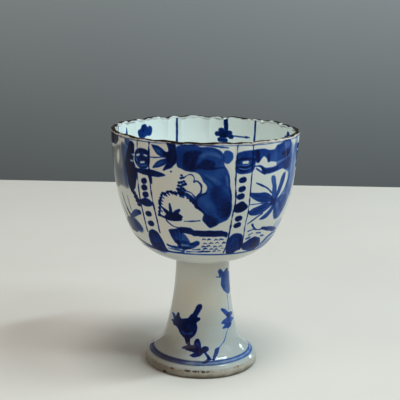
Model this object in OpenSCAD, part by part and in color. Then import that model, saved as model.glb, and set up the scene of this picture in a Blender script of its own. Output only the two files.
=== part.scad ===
// Porcelain stem cup: a lobed bowl luted onto a hollow trumpet stem.
// Millimetres, +Z up, origin at the centre of the foot ring on the table.

/* [Bowl] */
// Diameter across the crests of the lobes at the rim
rim_d = 92.4; // [88:0.2:97]
// Height of the bowl, from its luted base to the tips of the rim
bowl_h = 65; // [62:0.2:70]
// Thickness of the bowl's wall
bowl_wall = 2.2; // [1.8:0.1:3]
// Outward lean of the lip, in degrees
lip_lean = 3.5; // [2.5:0.5:4.5]
// Height of the lip
lip_h = 9; // [7:0.5:11]
// Outward lean of the straight wall under the lip, in degrees
wall_lean = 5; // [4:0.5:6]
// Radius of the curve of the side wall
side_r = 97; // [90:1:104]
// Radius of the rounded heel, as a share of the rim's radius
heel_share = 0.593; // [0.55:0.001:0.64]
// Lean of the wall where the side curve meets the heel, in degrees
heel_lean = 23; // [20:1:26]
// Rise of the underside towards the heel, in degrees
under_rise = 12; // [9:1:15]
// Width of the flat ledge of the base outside the stem
base_ledge = 0.5; // [0.3:0.1:1.2]

/* [Lobed rim] */
// Number of pressed panels round the bowl
panels = 6; // [4:1:8]
// Angle of each narrow lobe, one in a panel and one between panels, in degrees
narrow_lobe = 10; // [8:0.5:12]
// Depth of the crease between two lobes
crease_depth = 0.7; // [0.4:0.1:1]
// Turn of the first divider lobe from the +X axis, in degrees
divider_turn = -68; // [-90:1:-31]
// Rise of a wide scallop above the cusps of the rim
wide_rise = 1.1; // [0.7:0.1:1.5]
// Rise of a narrow scallop above the cusps of the rim
narrow_rise = 0.7; // [0.4:0.1:0.9]
// Height of the iron-brown dressing on the lip
dressing_h = 0.8; // [0.5:0.1:1.2]

/* [Stem] */
// Diameter of the stem under the bowl
stem_d = 26.8; // [25:0.2:29]
// Height of the stem, from the table to the luted joint
stem_h = 54.5; // [51:0.1:60]
// Thickness of the stem's wall
stem_wall = 3.2; // [2.6:0.1:4]
// Outward lean of the straight neck, in degrees
neck_lean = 2; // [1:0.5:3]
// Radius of the long hollow curve of the shaft
shaft_r = 145; // [130:1:155]
// Lean of the shaft where the foot begins to flare, in degrees
shaft_lean = 14.8; // [13:0.2:15.4]
// Radius of the flare above the foot
flare_r = 12; // [9:0.5:14]
// Lean of the foot's upper face, in degrees from upright
foot_lean = 50; // [45:1:55]

/* [Foot] */
// Diameter of the foot
foot_d = 56.9; // [53:0.1:60]
// Radius of the rounded shoulder of the foot
foot_shoulder_r = 6; // [4.5:0.5:7]
// Height of the widest part of the foot above the table
foot_side_h = 1.8; // [1.4:0.1:2.6]
// Width of the foot ring at the table, its bevels included
foot_ring_w = 4.8; // [4:0.1:5.6]
// Bevel on the outer edge of the foot ring
outer_bevel = 0.8; // [0.4:0.1:1.2]
// Bevel on the inner edge of the foot ring
inner_bevel = 0.4; // [0.2:0.1:0.8]

/* [Luting] */
// Thickness of the slip between the stem and the bowl
slip_t = 0.5; // [0.3:0.1:0.8]

/* [Hidden] */
$fn = 180;

// Turn of one chord of a curved profile, in degrees
chord_turn = 2.5;
// Play by which the round wall stands outside the lobes, so that every lobe shows up to its crest
lobe_bite = 0.12;
// Reach of cutting shapes past what they cut
cut = 2;

// Place of the joint
joint_z = stem_h + slip_t;
stem_top_r = stem_d / 2;
base_r = stem_top_r + base_ledge;

// Profile of the bowl: underside, heel, side curve and straight wall are tangent to one another
rim_r = rim_d / 2;
heel_r = heel_share * rim_r;
under_lean = 90 - under_rise;
round_r = rim_r + lobe_bite;
lip_base = [round_r - lip_h * tan(lip_lean), bowl_h - lip_h];
side_dz = side_r * (sin(heel_lean) - sin(wall_lean));
side_dr = side_r * (cos(wall_lean) - cos(heel_lean));
heel_dz = heel_r * (sin(under_lean) - sin(heel_lean));
heel_dr = heel_r * (cos(heel_lean) - cos(under_lean));
under_dr_free = lip_base[0] - side_dr - heel_dr - base_r;
wall_h = (lip_base[1] - side_dz - heel_dz - under_dr_free * tan(under_rise))
    / (1 - tan(wall_lean) * tan(under_rise));
side_top = lip_base - wall_h * [tan(wall_lean), 1];
side_c = side_top - side_r * [cos(wall_lean), -sin(wall_lean)];
heel_c = side_c + (side_r - heel_r) * [cos(heel_lean), -sin(heel_lean)];
heel_in_r = heel_r - bowl_wall;
floor_z = heel_c[1] - heel_in_r;

// Lobes and scallops: each panel has two wide lobes and a narrow one, and a narrow one divides the panels
panel_angle = 360 / panels;
wide_lobe = (panel_angle - 2 * narrow_lobe) / 2;
crease_r = rim_r - crease_depth;
wide_turn = (narrow_lobe + wide_lobe) / 2;
lip_in_r = crease_r - bowl_wall;

// Profile of the stem: neck, shaft, flare, foot face and rounded shoulder are tangent to one another
foot_r = foot_d / 2;
foot_in_r = foot_r - foot_ring_w;
shaft_dz = shaft_r * (sin(shaft_lean) - sin(neck_lean));
shaft_dr = shaft_r * (cos(neck_lean) - cos(shaft_lean));
flare_dz = flare_r * (sin(foot_lean) - sin(shaft_lean));
flare_dr = flare_r * (cos(shaft_lean) - cos(foot_lean));
shoulder_dz = foot_shoulder_r * sin(foot_lean);
shoulder_dr = foot_shoulder_r * (1 - cos(foot_lean));
rest_dz = stem_h - foot_side_h - shoulder_dz - shaft_dz - flare_dz;
rest_dr = foot_r - shoulder_dr - stem_top_r - shaft_dr - flare_dr;
face_l = (rest_dr - rest_dz * tan(neck_lean)) / (sin(foot_lean) - cos(foot_lean) * tan(neck_lean));
neck_h = rest_dz - face_l * cos(foot_lean);
neck_end = [stem_top_r + neck_h * tan(neck_lean), stem_h - neck_h];
shaft_c = neck_end + shaft_r * [cos(neck_lean), sin(neck_lean)];
flare_c = shaft_c - (shaft_r - flare_r) * [cos(shaft_lean), sin(shaft_lean)];
bore_top_r = stem_top_r - stem_wall / cos(neck_lean);
flare_in_end = flare_c - (flare_r + stem_wall) * [cos(foot_lean), sin(foot_lean)];
ring_in_h = flare_in_end[1] - (foot_in_r - flare_in_end[0]) / tan(foot_lean);

// Points of an arc about c, from angle a to angle b, in chords of about chord_turn
function arc(c, r, a, b) =
    let (n = max(2, ceil(abs(b - a) / chord_turn)))
    [for (i = [0:n]) c + r * [cos(a + (b - a) * i / n), sin(a + (b - a) * i / n)]];

// Distance from the axis to the centre of a lobe's circle, for a lobe of a given half angle
function lobe_centre(half) =
    (rim_r * rim_r - crease_r * crease_r) / (2 * (rim_r - crease_r * cos(half)));

// Radius of a scallop that rises by rise over a lobe of a given half angle
function scallop_r(half, rise) =
    let (chord = rim_r * sin(half))
    (chord * chord + rise * rise) / (2 * rise);

function bowl_outside() = concat(
    [[0, 0], [base_r, 0]],
    arc(heel_c, heel_r, -under_lean, -heel_lean),
    arc(side_c, side_r, -heel_lean, -wall_lean),
    [lip_base, [round_r + cut * tan(lip_lean), bowl_h + cut], [0, bowl_h + cut]]
);

function bowl_inside() = concat(
    [[0, floor_z]],
    arc(heel_c, heel_in_r, -90, -heel_lean),
    arc(side_c, side_r - bowl_wall, -heel_lean, -wall_lean),
    [
        lip_base - [bowl_wall / cos((lip_lean + wall_lean) / 2), 0],
        [round_r - bowl_wall / cos(lip_lean) + 2 * cut * tan(lip_lean), bowl_h + 2 * cut],
        [0, bowl_h + 2 * cut]
    ]
);

function stem_section() = concat(
    [[bore_top_r, stem_h], [stem_top_r, stem_h]],
    arc(shaft_c, shaft_r, 180 + neck_lean, 180 + shaft_lean),
    arc(flare_c, flare_r, 180 + shaft_lean, 180 + foot_lean),
    arc([foot_r - foot_shoulder_r, foot_side_h], foot_shoulder_r, foot_lean, 0),
    [
        [foot_r, outer_bevel],
        [foot_r - outer_bevel, 0],
        [foot_in_r + inner_bevel, 0],
        [foot_in_r, inner_bevel],
        [foot_in_r, ring_in_h]
    ],
    arc(flare_c, flare_r + stem_wall, 180 + foot_lean, 180 + shaft_lean),
    arc(shaft_c, shaft_r + stem_wall, 180 + shaft_lean, 180 + neck_lean)
);

// Places its children once for every lobe: $half is the lobe's half angle, $rise its scallop's rise
module each_lobe() {
    for (p = [0:panels - 1])
        rotate(divider_turn + p * panel_angle) {
            for (turn = [0, panel_angle / 2], $half = narrow_lobe / 2, $rise = narrow_rise)
                rotate(turn) children();
            for (turn = [wide_turn, -wide_turn], $half = wide_lobe / 2, $rise = wide_rise)
                rotate(turn) children();
        }
}

// Outline of the lobed wall, drawn in by an inset
module lobed_outline(inset) {
    circle(crease_r - inset - crease_depth);
    each_lobe() {
        centre = lobe_centre($half);
        translate([centre, 0]) circle(rim_r - centre - inset);
    }
}

// Wall of the bowl, up to a level above the rim
module bowl_wall_body() {
    difference() {
        intersection() {
            rotate_extrude() polygon(bowl_outside());
            linear_extrude(bowl_h + cut) lobed_outline(0);
        }
        intersection() {
            rotate_extrude() polygon(bowl_inside());
            linear_extrude(bowl_h + 2 * cut) lobed_outline(bowl_wall);
        }
    }
}

// All that lies above the scalloped edge of the rim, lowered by a drop
module above_scallops(drop) {
    low = bowl_h - wide_rise - 2 * cut;
    inside_r = lip_in_r - 2 * cut;
    outside_r = rim_r + cut;
    translate([0, 0, -drop])
        difference() {
            translate([0, 0, low]) linear_extrude(wide_rise + 5 * cut)
                difference() {
                    circle(outside_r);
                    circle(inside_r);
                }
            each_lobe() {
                edge_r = scallop_r($half, $rise);
                translate([inside_r - cut, 0, bowl_h - wide_rise + $rise - edge_r])
                    rotate([0, 90, 0]) cylinder(h = outside_r - inside_r + 2 * cut, r = edge_r);
            }
        }
}

// Thrown and mould-pressed bowl
module bowl() {
    color([0.80, 0.83, 0.84])
        translate([0, 0, joint_z])
            difference() {
                bowl_wall_body();
                above_scallops(dressing_h);
            }
}

// Band of iron-brown dressing on the lip
module rim_dressing() {
    color([0.22, 0.15, 0.11])
        translate([0, 0, joint_z])
            difference() {
                intersection() {
                    bowl_wall_body();
                    above_scallops(dressing_h);
                }
                above_scallops(0);
            }
}

// Slip that lutes the bowl to the stem, with its bead pressed out round the joint
module luting_slip() {
    color([0.70, 0.69, 0.64])
        translate([0, 0, stem_h])
            rotate_extrude() {
                translate([bore_top_r, 0]) square([stem_top_r - bore_top_r, slip_t]);
                translate([stem_top_r, slip_t / 2]) circle(slip_t / 2);
            }
}

// Hollow stem with its flared foot and foot ring
module stem() {
    color([0.78, 0.79, 0.77])
        rotate_extrude() polygon(stem_section());
}

bowl();
rim_dressing();
luting_slip();
stem();
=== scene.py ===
"""Looks of the porcelain stem cup: painted walls, glaze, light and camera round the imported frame.

Angles round the cup are in degrees from the front (-Y), positive towards +X. Depths are in millimetres down a
wall, from the tips of the rim or from the top of the stem. What stands in the scene is in metres.
"""

import math

import bpy
import numpy as np
from mathutils import Matrix, Vector


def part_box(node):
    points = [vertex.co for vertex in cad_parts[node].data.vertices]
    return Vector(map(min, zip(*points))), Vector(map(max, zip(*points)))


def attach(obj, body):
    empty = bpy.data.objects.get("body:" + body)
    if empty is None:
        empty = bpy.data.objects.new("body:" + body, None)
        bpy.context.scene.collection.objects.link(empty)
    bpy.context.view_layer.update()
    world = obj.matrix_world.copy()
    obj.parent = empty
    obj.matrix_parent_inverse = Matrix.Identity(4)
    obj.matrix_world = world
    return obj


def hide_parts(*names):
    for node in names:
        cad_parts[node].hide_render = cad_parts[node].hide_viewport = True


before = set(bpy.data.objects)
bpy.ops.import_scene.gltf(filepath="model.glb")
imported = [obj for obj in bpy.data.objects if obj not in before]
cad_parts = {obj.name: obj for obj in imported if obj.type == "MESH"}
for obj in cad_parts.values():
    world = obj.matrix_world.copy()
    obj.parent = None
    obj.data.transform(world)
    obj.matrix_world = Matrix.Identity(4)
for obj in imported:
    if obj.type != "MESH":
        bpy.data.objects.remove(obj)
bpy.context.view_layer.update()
bpy.context.scene.view_settings.view_transform = "Standard"

MM = 0.001

# Sizes of the cup, as in the part's source, in millimetres and degrees
RIM_R = 46.2
BOWL_WALL = 2.2
LIP_LEAN, LIP_H = 3.5, 9.0
WALL_LEAN = 5.0
SIDE_R = 97.0
HEEL_R = 0.593 * RIM_R
HEEL_LEAN = 23.0
UNDER_RISE = 12.0
BASE_LEDGE = 0.5
PANELS = 6
NARROW_LOBE = 10.0
CREASE_DEPTH = 0.7
WIDE_RISE, NARROW_RISE = 1.1, 0.7
DRESSING_H = 0.8
STEM_WALL = 3.2
NECK_LEAN = 2.0
SHAFT_R, SHAFT_LEAN = 145.0, 14.8
FLARE_R, FOOT_LEAN = 12.0, 50.0
FOOT_SHOULDER_R, FOOT_SIDE_H = 6.0, 1.8
FOOT_RING_W = 4.8
OUTER_BEVEL, INNER_BEVEL = 0.8, 0.4

# Levels and widths taken from the frame, in millimetres
RIM_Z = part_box("rim_dressing")[1].z / MM
JOINT_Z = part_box("bowl")[0].z / MM
STEM_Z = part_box("stem")[1].z / MM
FOOT_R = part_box("stem")[1].x / MM
STEM_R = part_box("luting_slip")[1].x / MM - (JOINT_Z - STEM_Z) / 2
BASE_R = STEM_R + BASE_LEDGE
BOWL_H = RIM_Z - JOINT_Z

# Places of the panels: a divider of lobes stands between two panels
PANEL_ANGLE = 360.0 / PANELS
FIRST_DIVIDER = 22.0
WIDE_LOBE = PANEL_ANGLE / 2 - NARROW_LOBE

# Grid of the meshes: columns round the cup, and pitches of painted and plain rows in millimetres
COLUMNS = 900
GRAIN = 0.32
LINING_GRAIN = 1.4 * GRAIN
COARSE = 1.0
ANGLE = np.arange(COLUMNS) * 360.0 / COLUMNS - 180.0


def sin(degrees):
    return np.sin(np.radians(degrees))


def cos(degrees):
    return np.cos(np.radians(degrees))


def tan(degrees):
    return np.tan(np.radians(degrees))


def arc(centre, radius, start, end, count=48):
    """Points of an arc of a section, as (radius from the axis, height)."""
    turn = np.linspace(start, end, count)
    return np.stack([centre[0] + radius * cos(turn), centre[1] + radius * sin(turn)], axis=1)


def smooth_noise(seed, shape, cell):
    """Noise of unit spread that blurs over about cell rows and columns, and closes round the cup."""
    rows = np.fft.fftfreq(shape[0])[:, None] * cell
    columns = np.fft.rfftfreq(shape[1])[None, :] * cell
    raw = np.random.default_rng(seed).standard_normal(shape)
    blurred = np.fft.irfft2(np.fft.rfft2(raw) * np.exp(-2 * (rows**2 + columns**2) * math.pi), s=shape)
    return (blurred - blurred.mean()) / blurred.std()


def smooth_step(low, high, value):
    """Share of the way from low to high, with soft ends. Low may be the larger of the two."""
    share = np.clip((value - low) / (high - low), 0, 1)
    return share * share * (3 - 2 * share)


def soft_least(a, b, blend):
    """The smaller of two values, with a rounded corner where they cross."""
    share = np.clip(0.5 + 0.5 * (b - a) / blend, 0, 1)
    return b + (a - b) * share - blend * share * (1 - share)


# Sections of the bowl and the stem, as the part's source works them out

def bowl_section():
    """Outside of the bowl from rim to base, and inside from rim to the middle of the floor."""
    under_lean = 90 - UNDER_RISE
    lip_base = np.array([RIM_R - LIP_H * tan(LIP_LEAN), BOWL_H - LIP_H])
    side_dz = SIDE_R * (sin(HEEL_LEAN) - sin(WALL_LEAN))
    side_dr = SIDE_R * (cos(WALL_LEAN) - cos(HEEL_LEAN))
    heel_dz = HEEL_R * (sin(under_lean) - sin(HEEL_LEAN))
    heel_dr = HEEL_R * (cos(HEEL_LEAN) - cos(under_lean))
    free = lip_base[0] - side_dr - heel_dr - BASE_R
    wall_h = (lip_base[1] - side_dz - heel_dz - free * tan(UNDER_RISE)) / (1 - tan(WALL_LEAN) * tan(UNDER_RISE))
    side_top = lip_base - wall_h * np.array([tan(WALL_LEAN), 1])
    side_c = side_top - SIDE_R * np.array([cos(WALL_LEAN), -sin(WALL_LEAN)])
    heel_c = side_c + (SIDE_R - HEEL_R) * np.array([cos(HEEL_LEAN), -sin(HEEL_LEAN)])
    outside = np.concatenate([
        [[RIM_R, BOWL_H], lip_base],
        arc(side_c, SIDE_R, -WALL_LEAN, -HEEL_LEAN),
        arc(heel_c, HEEL_R, -HEEL_LEAN, -under_lean)[1:],
        [[BASE_R, 0]],
    ])
    inside = np.concatenate([
        [[RIM_R - BOWL_WALL, BOWL_H], lip_base - [BOWL_WALL, 0]],
        arc(side_c, SIDE_R - BOWL_WALL, -WALL_LEAN, -HEEL_LEAN),
        arc(heel_c, HEEL_R - BOWL_WALL, -HEEL_LEAN, -90)[1:],
        [[0, heel_c[1] - HEEL_R + BOWL_WALL]],
    ])
    return outside + [0, JOINT_Z], inside + [0, JOINT_Z]


def stem_section():
    """Outside of the stem from top to table, and inside from the table up to the top."""
    shaft_dz = SHAFT_R * (sin(SHAFT_LEAN) - sin(NECK_LEAN))
    shaft_dr = SHAFT_R * (cos(NECK_LEAN) - cos(SHAFT_LEAN))
    flare_dz = FLARE_R * (sin(FOOT_LEAN) - sin(SHAFT_LEAN))
    flare_dr = FLARE_R * (cos(SHAFT_LEAN) - cos(FOOT_LEAN))
    rest_dz = STEM_Z - FOOT_SIDE_H - FOOT_SHOULDER_R * sin(FOOT_LEAN) - shaft_dz - flare_dz
    rest_dr = FOOT_R - FOOT_SHOULDER_R * (1 - cos(FOOT_LEAN)) - STEM_R - shaft_dr - flare_dr
    face = (rest_dr - rest_dz * tan(NECK_LEAN)) / (sin(FOOT_LEAN) - cos(FOOT_LEAN) * tan(NECK_LEAN))
    neck_h = rest_dz - face * cos(FOOT_LEAN)
    neck_end = np.array([STEM_R + neck_h * tan(NECK_LEAN), STEM_Z - neck_h])
    shaft_c = neck_end + SHAFT_R * np.array([cos(NECK_LEAN), sin(NECK_LEAN)])
    flare_c = shaft_c - (SHAFT_R - FLARE_R) * np.array([cos(SHAFT_LEAN), sin(SHAFT_LEAN)])
    foot_in_r = FOOT_R - FOOT_RING_W
    flare_end = flare_c - (FLARE_R + STEM_WALL) * np.array([cos(FOOT_LEAN), sin(FOOT_LEAN)])
    ring_in_h = flare_end[1] - (foot_in_r - flare_end[0]) / tan(FOOT_LEAN)
    outside = np.concatenate([
        [[STEM_R, STEM_Z]],
        arc(shaft_c, SHAFT_R, 180 + NECK_LEAN, 180 + SHAFT_LEAN),
        arc(flare_c, FLARE_R, 180 + SHAFT_LEAN, 180 + FOOT_LEAN)[1:],
        arc((FOOT_R - FOOT_SHOULDER_R, FOOT_SIDE_H), FOOT_SHOULDER_R, FOOT_LEAN, 0),
        [[FOOT_R, OUTER_BEVEL], [FOOT_R - OUTER_BEVEL, 0]],
    ])
    inside = np.concatenate([
        [[foot_in_r + INNER_BEVEL, 0], [foot_in_r, INNER_BEVEL], [foot_in_r, ring_in_h]],
        arc(flare_c, FLARE_R + STEM_WALL, 180 + FOOT_LEAN, 180 + SHAFT_LEAN),
        arc(shaft_c, SHAFT_R + STEM_WALL, 180 + SHAFT_LEAN, 180 + NECK_LEAN)[1:],
        [[STEM_R - STEM_WALL / cos(NECK_LEAN), STEM_Z]],
    ])
    return outside, inside


def along(section):
    """Distance of each point of a section from its first point."""
    return np.concatenate([[0], np.cumsum(np.hypot(*np.diff(section, axis=0).T))])


def walk(section, depth):
    """Radius and height at some depths along a section."""
    length = along(section)
    return np.interp(depth, length, section[:, 0]), np.interp(depth, length, section[:, 1])


def steps(start, end, pitch):
    """Even steps between two values, no wider than a pitch."""
    return np.linspace(start, end, max(2, int(math.ceil((end - start) / pitch)) + 1))


# Lobes and scallops of the rim

def lobes():
    """Angle, half angle and rise of every lobe."""
    wide_turn = (NARROW_LOBE + WIDE_LOBE) / 2
    for panel in range(PANELS):
        divider = FIRST_DIVIDER + panel * PANEL_ANGLE
        yield divider, NARROW_LOBE / 2, NARROW_RISE
        yield divider + PANEL_ANGLE / 2, NARROW_LOBE / 2, NARROW_RISE
        yield divider + wide_turn, WIDE_LOBE / 2, WIDE_RISE
        yield divider - wide_turn, WIDE_LOBE / 2, WIDE_RISE


def turn_from(middle):
    """Turn of every column from an angle, from -180 to 180 degrees."""
    return (ANGLE - middle + 180) % 360 - 180


def beside(middle, half, power=2):
    """Share of every column that lies near an angle. A higher power makes a flatter middle and steeper sides."""
    return np.exp(-(turn_from(middle) / half)**power)


def lobed_radius(inset):
    """Radius of the lobed outline of the wall at every column."""
    crease = RIM_R - CREASE_DEPTH
    radius = np.full(COLUMNS, crease - inset - CREASE_DEPTH)
    for middle, half, _ in lobes():
        centre = (RIM_R**2 - crease**2) / (2 * (RIM_R - crease * cos(half)))
        size = RIM_R - centre - inset
        turn = turn_from(middle)
        near = np.abs(turn) < 2 * half
        side = np.where(near, centre * sin(turn), 0)
        reach = centre * cos(turn) + np.sqrt(np.maximum(size**2 - side**2, 0))
        radius = np.where(near, np.maximum(radius, reach), radius)
    return radius


# Worn places of the rim, listed: angle, width in degrees and depth in millimetres
RIM_CHIPS = [(-62, 3, 0.1), (29, 2, 0.1), (43, 2, 0.1), (50, 2.5, 0.15), (61, 2, 0.1), (119, 3, 0.2),
             (137, 4, 0.2), (148, 3, 0.25), (166, 2.5, 0.15), (188, 6, 0.2), (214, 3, 0.25), (231, 4, 0.2),
             (246, 4, 0.25), (257, 4, 0.2)]
# Share of the scallops that wear has left, and the wear of the edge between its smoothest and roughest places
SCALLOPS_LEFT = 0.6
EDGE_WEAR, EDGE_ROUGHNESS, EDGE_CELLS = 0.02, 0.12, 9
BELOW_SCALLOPS = 0.1


def rim_edge():
    """Height of the scalloped edge of the rim at every column, with its worn places."""
    edge = np.full(COLUMNS, RIM_Z - WIDE_RISE - BELOW_SCALLOPS)
    for middle, half, rise in lobes():
        chord = RIM_R * sin(half)
        radius = (chord**2 + rise**2) / (2 * rise)
        across = RIM_R * sin(turn_from(middle))
        near = (np.abs(turn_from(middle)) < 2 * half) & (np.abs(across) < radius)
        arch = RIM_Z - WIDE_RISE + rise - radius + np.sqrt(np.maximum(radius**2 - across**2, 0))
        edge = np.where(near, np.maximum(edge, arch), edge)
    edge = RIM_Z - SCALLOPS_LEFT * (RIM_Z - edge)
    rough = np.clip(smooth_noise(11, (1, COLUMNS), EDGE_CELLS)[0], -1, 2)
    edge -= EDGE_WEAR + EDGE_ROUGHNESS * (1 + rough)
    for middle, width, depth in RIM_CHIPS:
        edge -= depth * beside(middle, width / 2)
    return edge


# Meshes

UV_MARGIN = 0.002


def new_piece(name, points, corners, starts, uv):
    """A smooth object from points, corners of its faces, the first corner of each face, and a UV at each corner."""
    mesh = bpy.data.meshes.new(name)
    mesh.vertices.add(len(points))
    mesh.vertices.foreach_set("co", points.astype(np.float32).ravel())
    mesh.loops.add(len(corners))
    mesh.loops.foreach_set("vertex_index", corners.astype(np.int32))
    mesh.polygons.add(len(starts))
    mesh.polygons.foreach_set("loop_start", starts.astype(np.int32))
    mesh.polygons.foreach_set("use_smooth", np.ones(len(starts), bool))
    mesh.uv_layers.new(name="OFBake").data.foreach_set("uv", uv.astype(np.float32).ravel())
    mesh.update(calc_edges=True)
    mesh.validate()
    piece = bpy.data.objects.new(name, mesh)
    bpy.context.scene.collection.objects.link(piece)
    return piece


def axis_caps(index, hub, v_step):
    """Triangles from the first and the last rows to the points hub and hub + 1 on the axis, with their UVs."""
    u = np.arange(COLUMNS) / COLUMNS
    mid_u, next_u = u + 0.5 / COLUMNS, u + 1 / COLUMNS
    hubs = np.full(COLUMNS, hub)
    top, bottom = index[0], index[-1]
    triangles = np.concatenate([
        np.stack([hubs, top, np.roll(top, -1)], axis=1),
        np.stack([bottom, hubs + 1, np.roll(bottom, -1)], axis=1),
    ])
    top_v, low_v = np.full(COLUMNS, 1 - UV_MARGIN - v_step), np.full(COLUMNS, UV_MARGIN + v_step)
    uv = np.concatenate([
        np.stack([mid_u, top_v + v_step, u, top_v, next_u, top_v], axis=1).reshape(-1, 2),
        np.stack([u, low_v, mid_u, low_v - v_step, next_u, low_v], axis=1).reshape(-1, 2),
    ])
    return triangles, uv


def closed_mesh(name, radius, height, loop):
    """A mesh of revolution from rows of radius and height in millimetres. A loop closes on itself across the rows,
    and otherwise the first and the last rows are drawn in to points on the axis."""
    points = np.stack([radius * sin(ANGLE), -radius * cos(ANGLE), height], axis=2).reshape(-1, 3) * MM
    index = np.arange(radius.size).reshape(radius.shape)
    above = index if loop else index[:-1]
    below = np.roll(index, -1, axis=0) if loop else index[1:]
    corners = np.stack([above, below, np.roll(below, -1, axis=1), np.roll(above, -1, axis=1)], axis=2).ravel()
    starts = np.arange(above.size) * 4
    bands, cap = len(above), 0 if loop else 1
    v_step = (1 - 2 * UV_MARGIN) / (bands + 2 * cap)
    left, top = np.meshgrid(np.arange(COLUMNS) / COLUMNS, 1 - UV_MARGIN - v_step * (np.arange(bands) + cap))
    right, low = left + 1 / COLUMNS, top - v_step
    uv = np.stack([left, top, left, low, right, low, right, top], axis=2).reshape(-1, 2)
    if not loop:
        triangles, cap_uv = axis_caps(index, len(points), v_step)
        hubs = [[0, 0, height[0].mean() * MM], [0, 0, height[-1].mean() * MM]]
        points = np.concatenate([points, hubs])
        starts = np.concatenate([starts, len(corners) + np.arange(len(triangles)) * 3])
        corners = np.concatenate([corners, triangles.ravel()])
        uv = np.concatenate([uv, cap_uv])
    return new_piece(name, points, corners, starts, uv)


def mark(piece, name, values):
    """Stores a value of each grid place on the piece's vertices; points on the axis get none."""
    stored = np.zeros(len(piece.data.vertices), np.float32)
    stored[:values.size] = values.ravel()
    piece.data.attributes.new(name, "FLOAT", "POINT").data.foreach_set("value", stored)


# Brushwork

# Shares: of pooling in the colour's density, and of colour in the fullest stroke
POOLING = 0.14
FULL = 0.995
# Millimetres: unevenness of an edge, sway of a ring, difference of depth along a row, least width of a stroke, least
# run of a dab, and half width and softness of the darker edge of a wash
EDGE_WOBBLE = 0.08
RING_SWAY = 0.12
LIP_SLACK = 1.6
LEAST_WIDTH = 0.1
LEAST_RUN = 0.2
POOLED_EDGE, POOLED_SOFT = 0.25, 0.35
# Millimetres beyond a stroke, a wash and a ring that are worked out with it
STROKE_MARGIN, WASH_MARGIN, RING_MARGIN = 0.5, 0.8, 2
# Rows and columns that the unevenness of an edge, the pooling and the sway of a ring run over
WOBBLE_CELLS, POOL_CELLS, SWAY_CELLS = 5, 13, 90
TINY, FAR = 1e-9, 1e3


def smooth_path(places, closed=False):
    """A curve through places (angle, depth and more), four steps from each to the next."""
    places = np.array(places, float)
    before = np.roll(places, 1, axis=0) if closed else np.concatenate([places[:1], places[:-1]])
    after = np.roll(places, -1, axis=0) if closed else np.concatenate([places[1:], places[-1:]])
    beyond = np.roll(places, -2, axis=0) if closed else np.concatenate([places[2:], places[-1:], places[-1:]])
    share = np.array([0, 0.25, 0.5, 0.75])[None, :, None]
    p, q, r, s = (x[:, None, :] for x in (before, places, after, beyond))
    curve = 0.5 * (2 * q + (r - p) * share + (2 * p - 5 * q + 4 * r - s) * share**2
                   + (3 * q - p - 3 * r + s) * share**3)
    if closed:
        return curve.reshape(-1, places.shape[1])
    return np.concatenate([curve[:-1].reshape(-1, places.shape[1]), places[-1:]])


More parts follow.
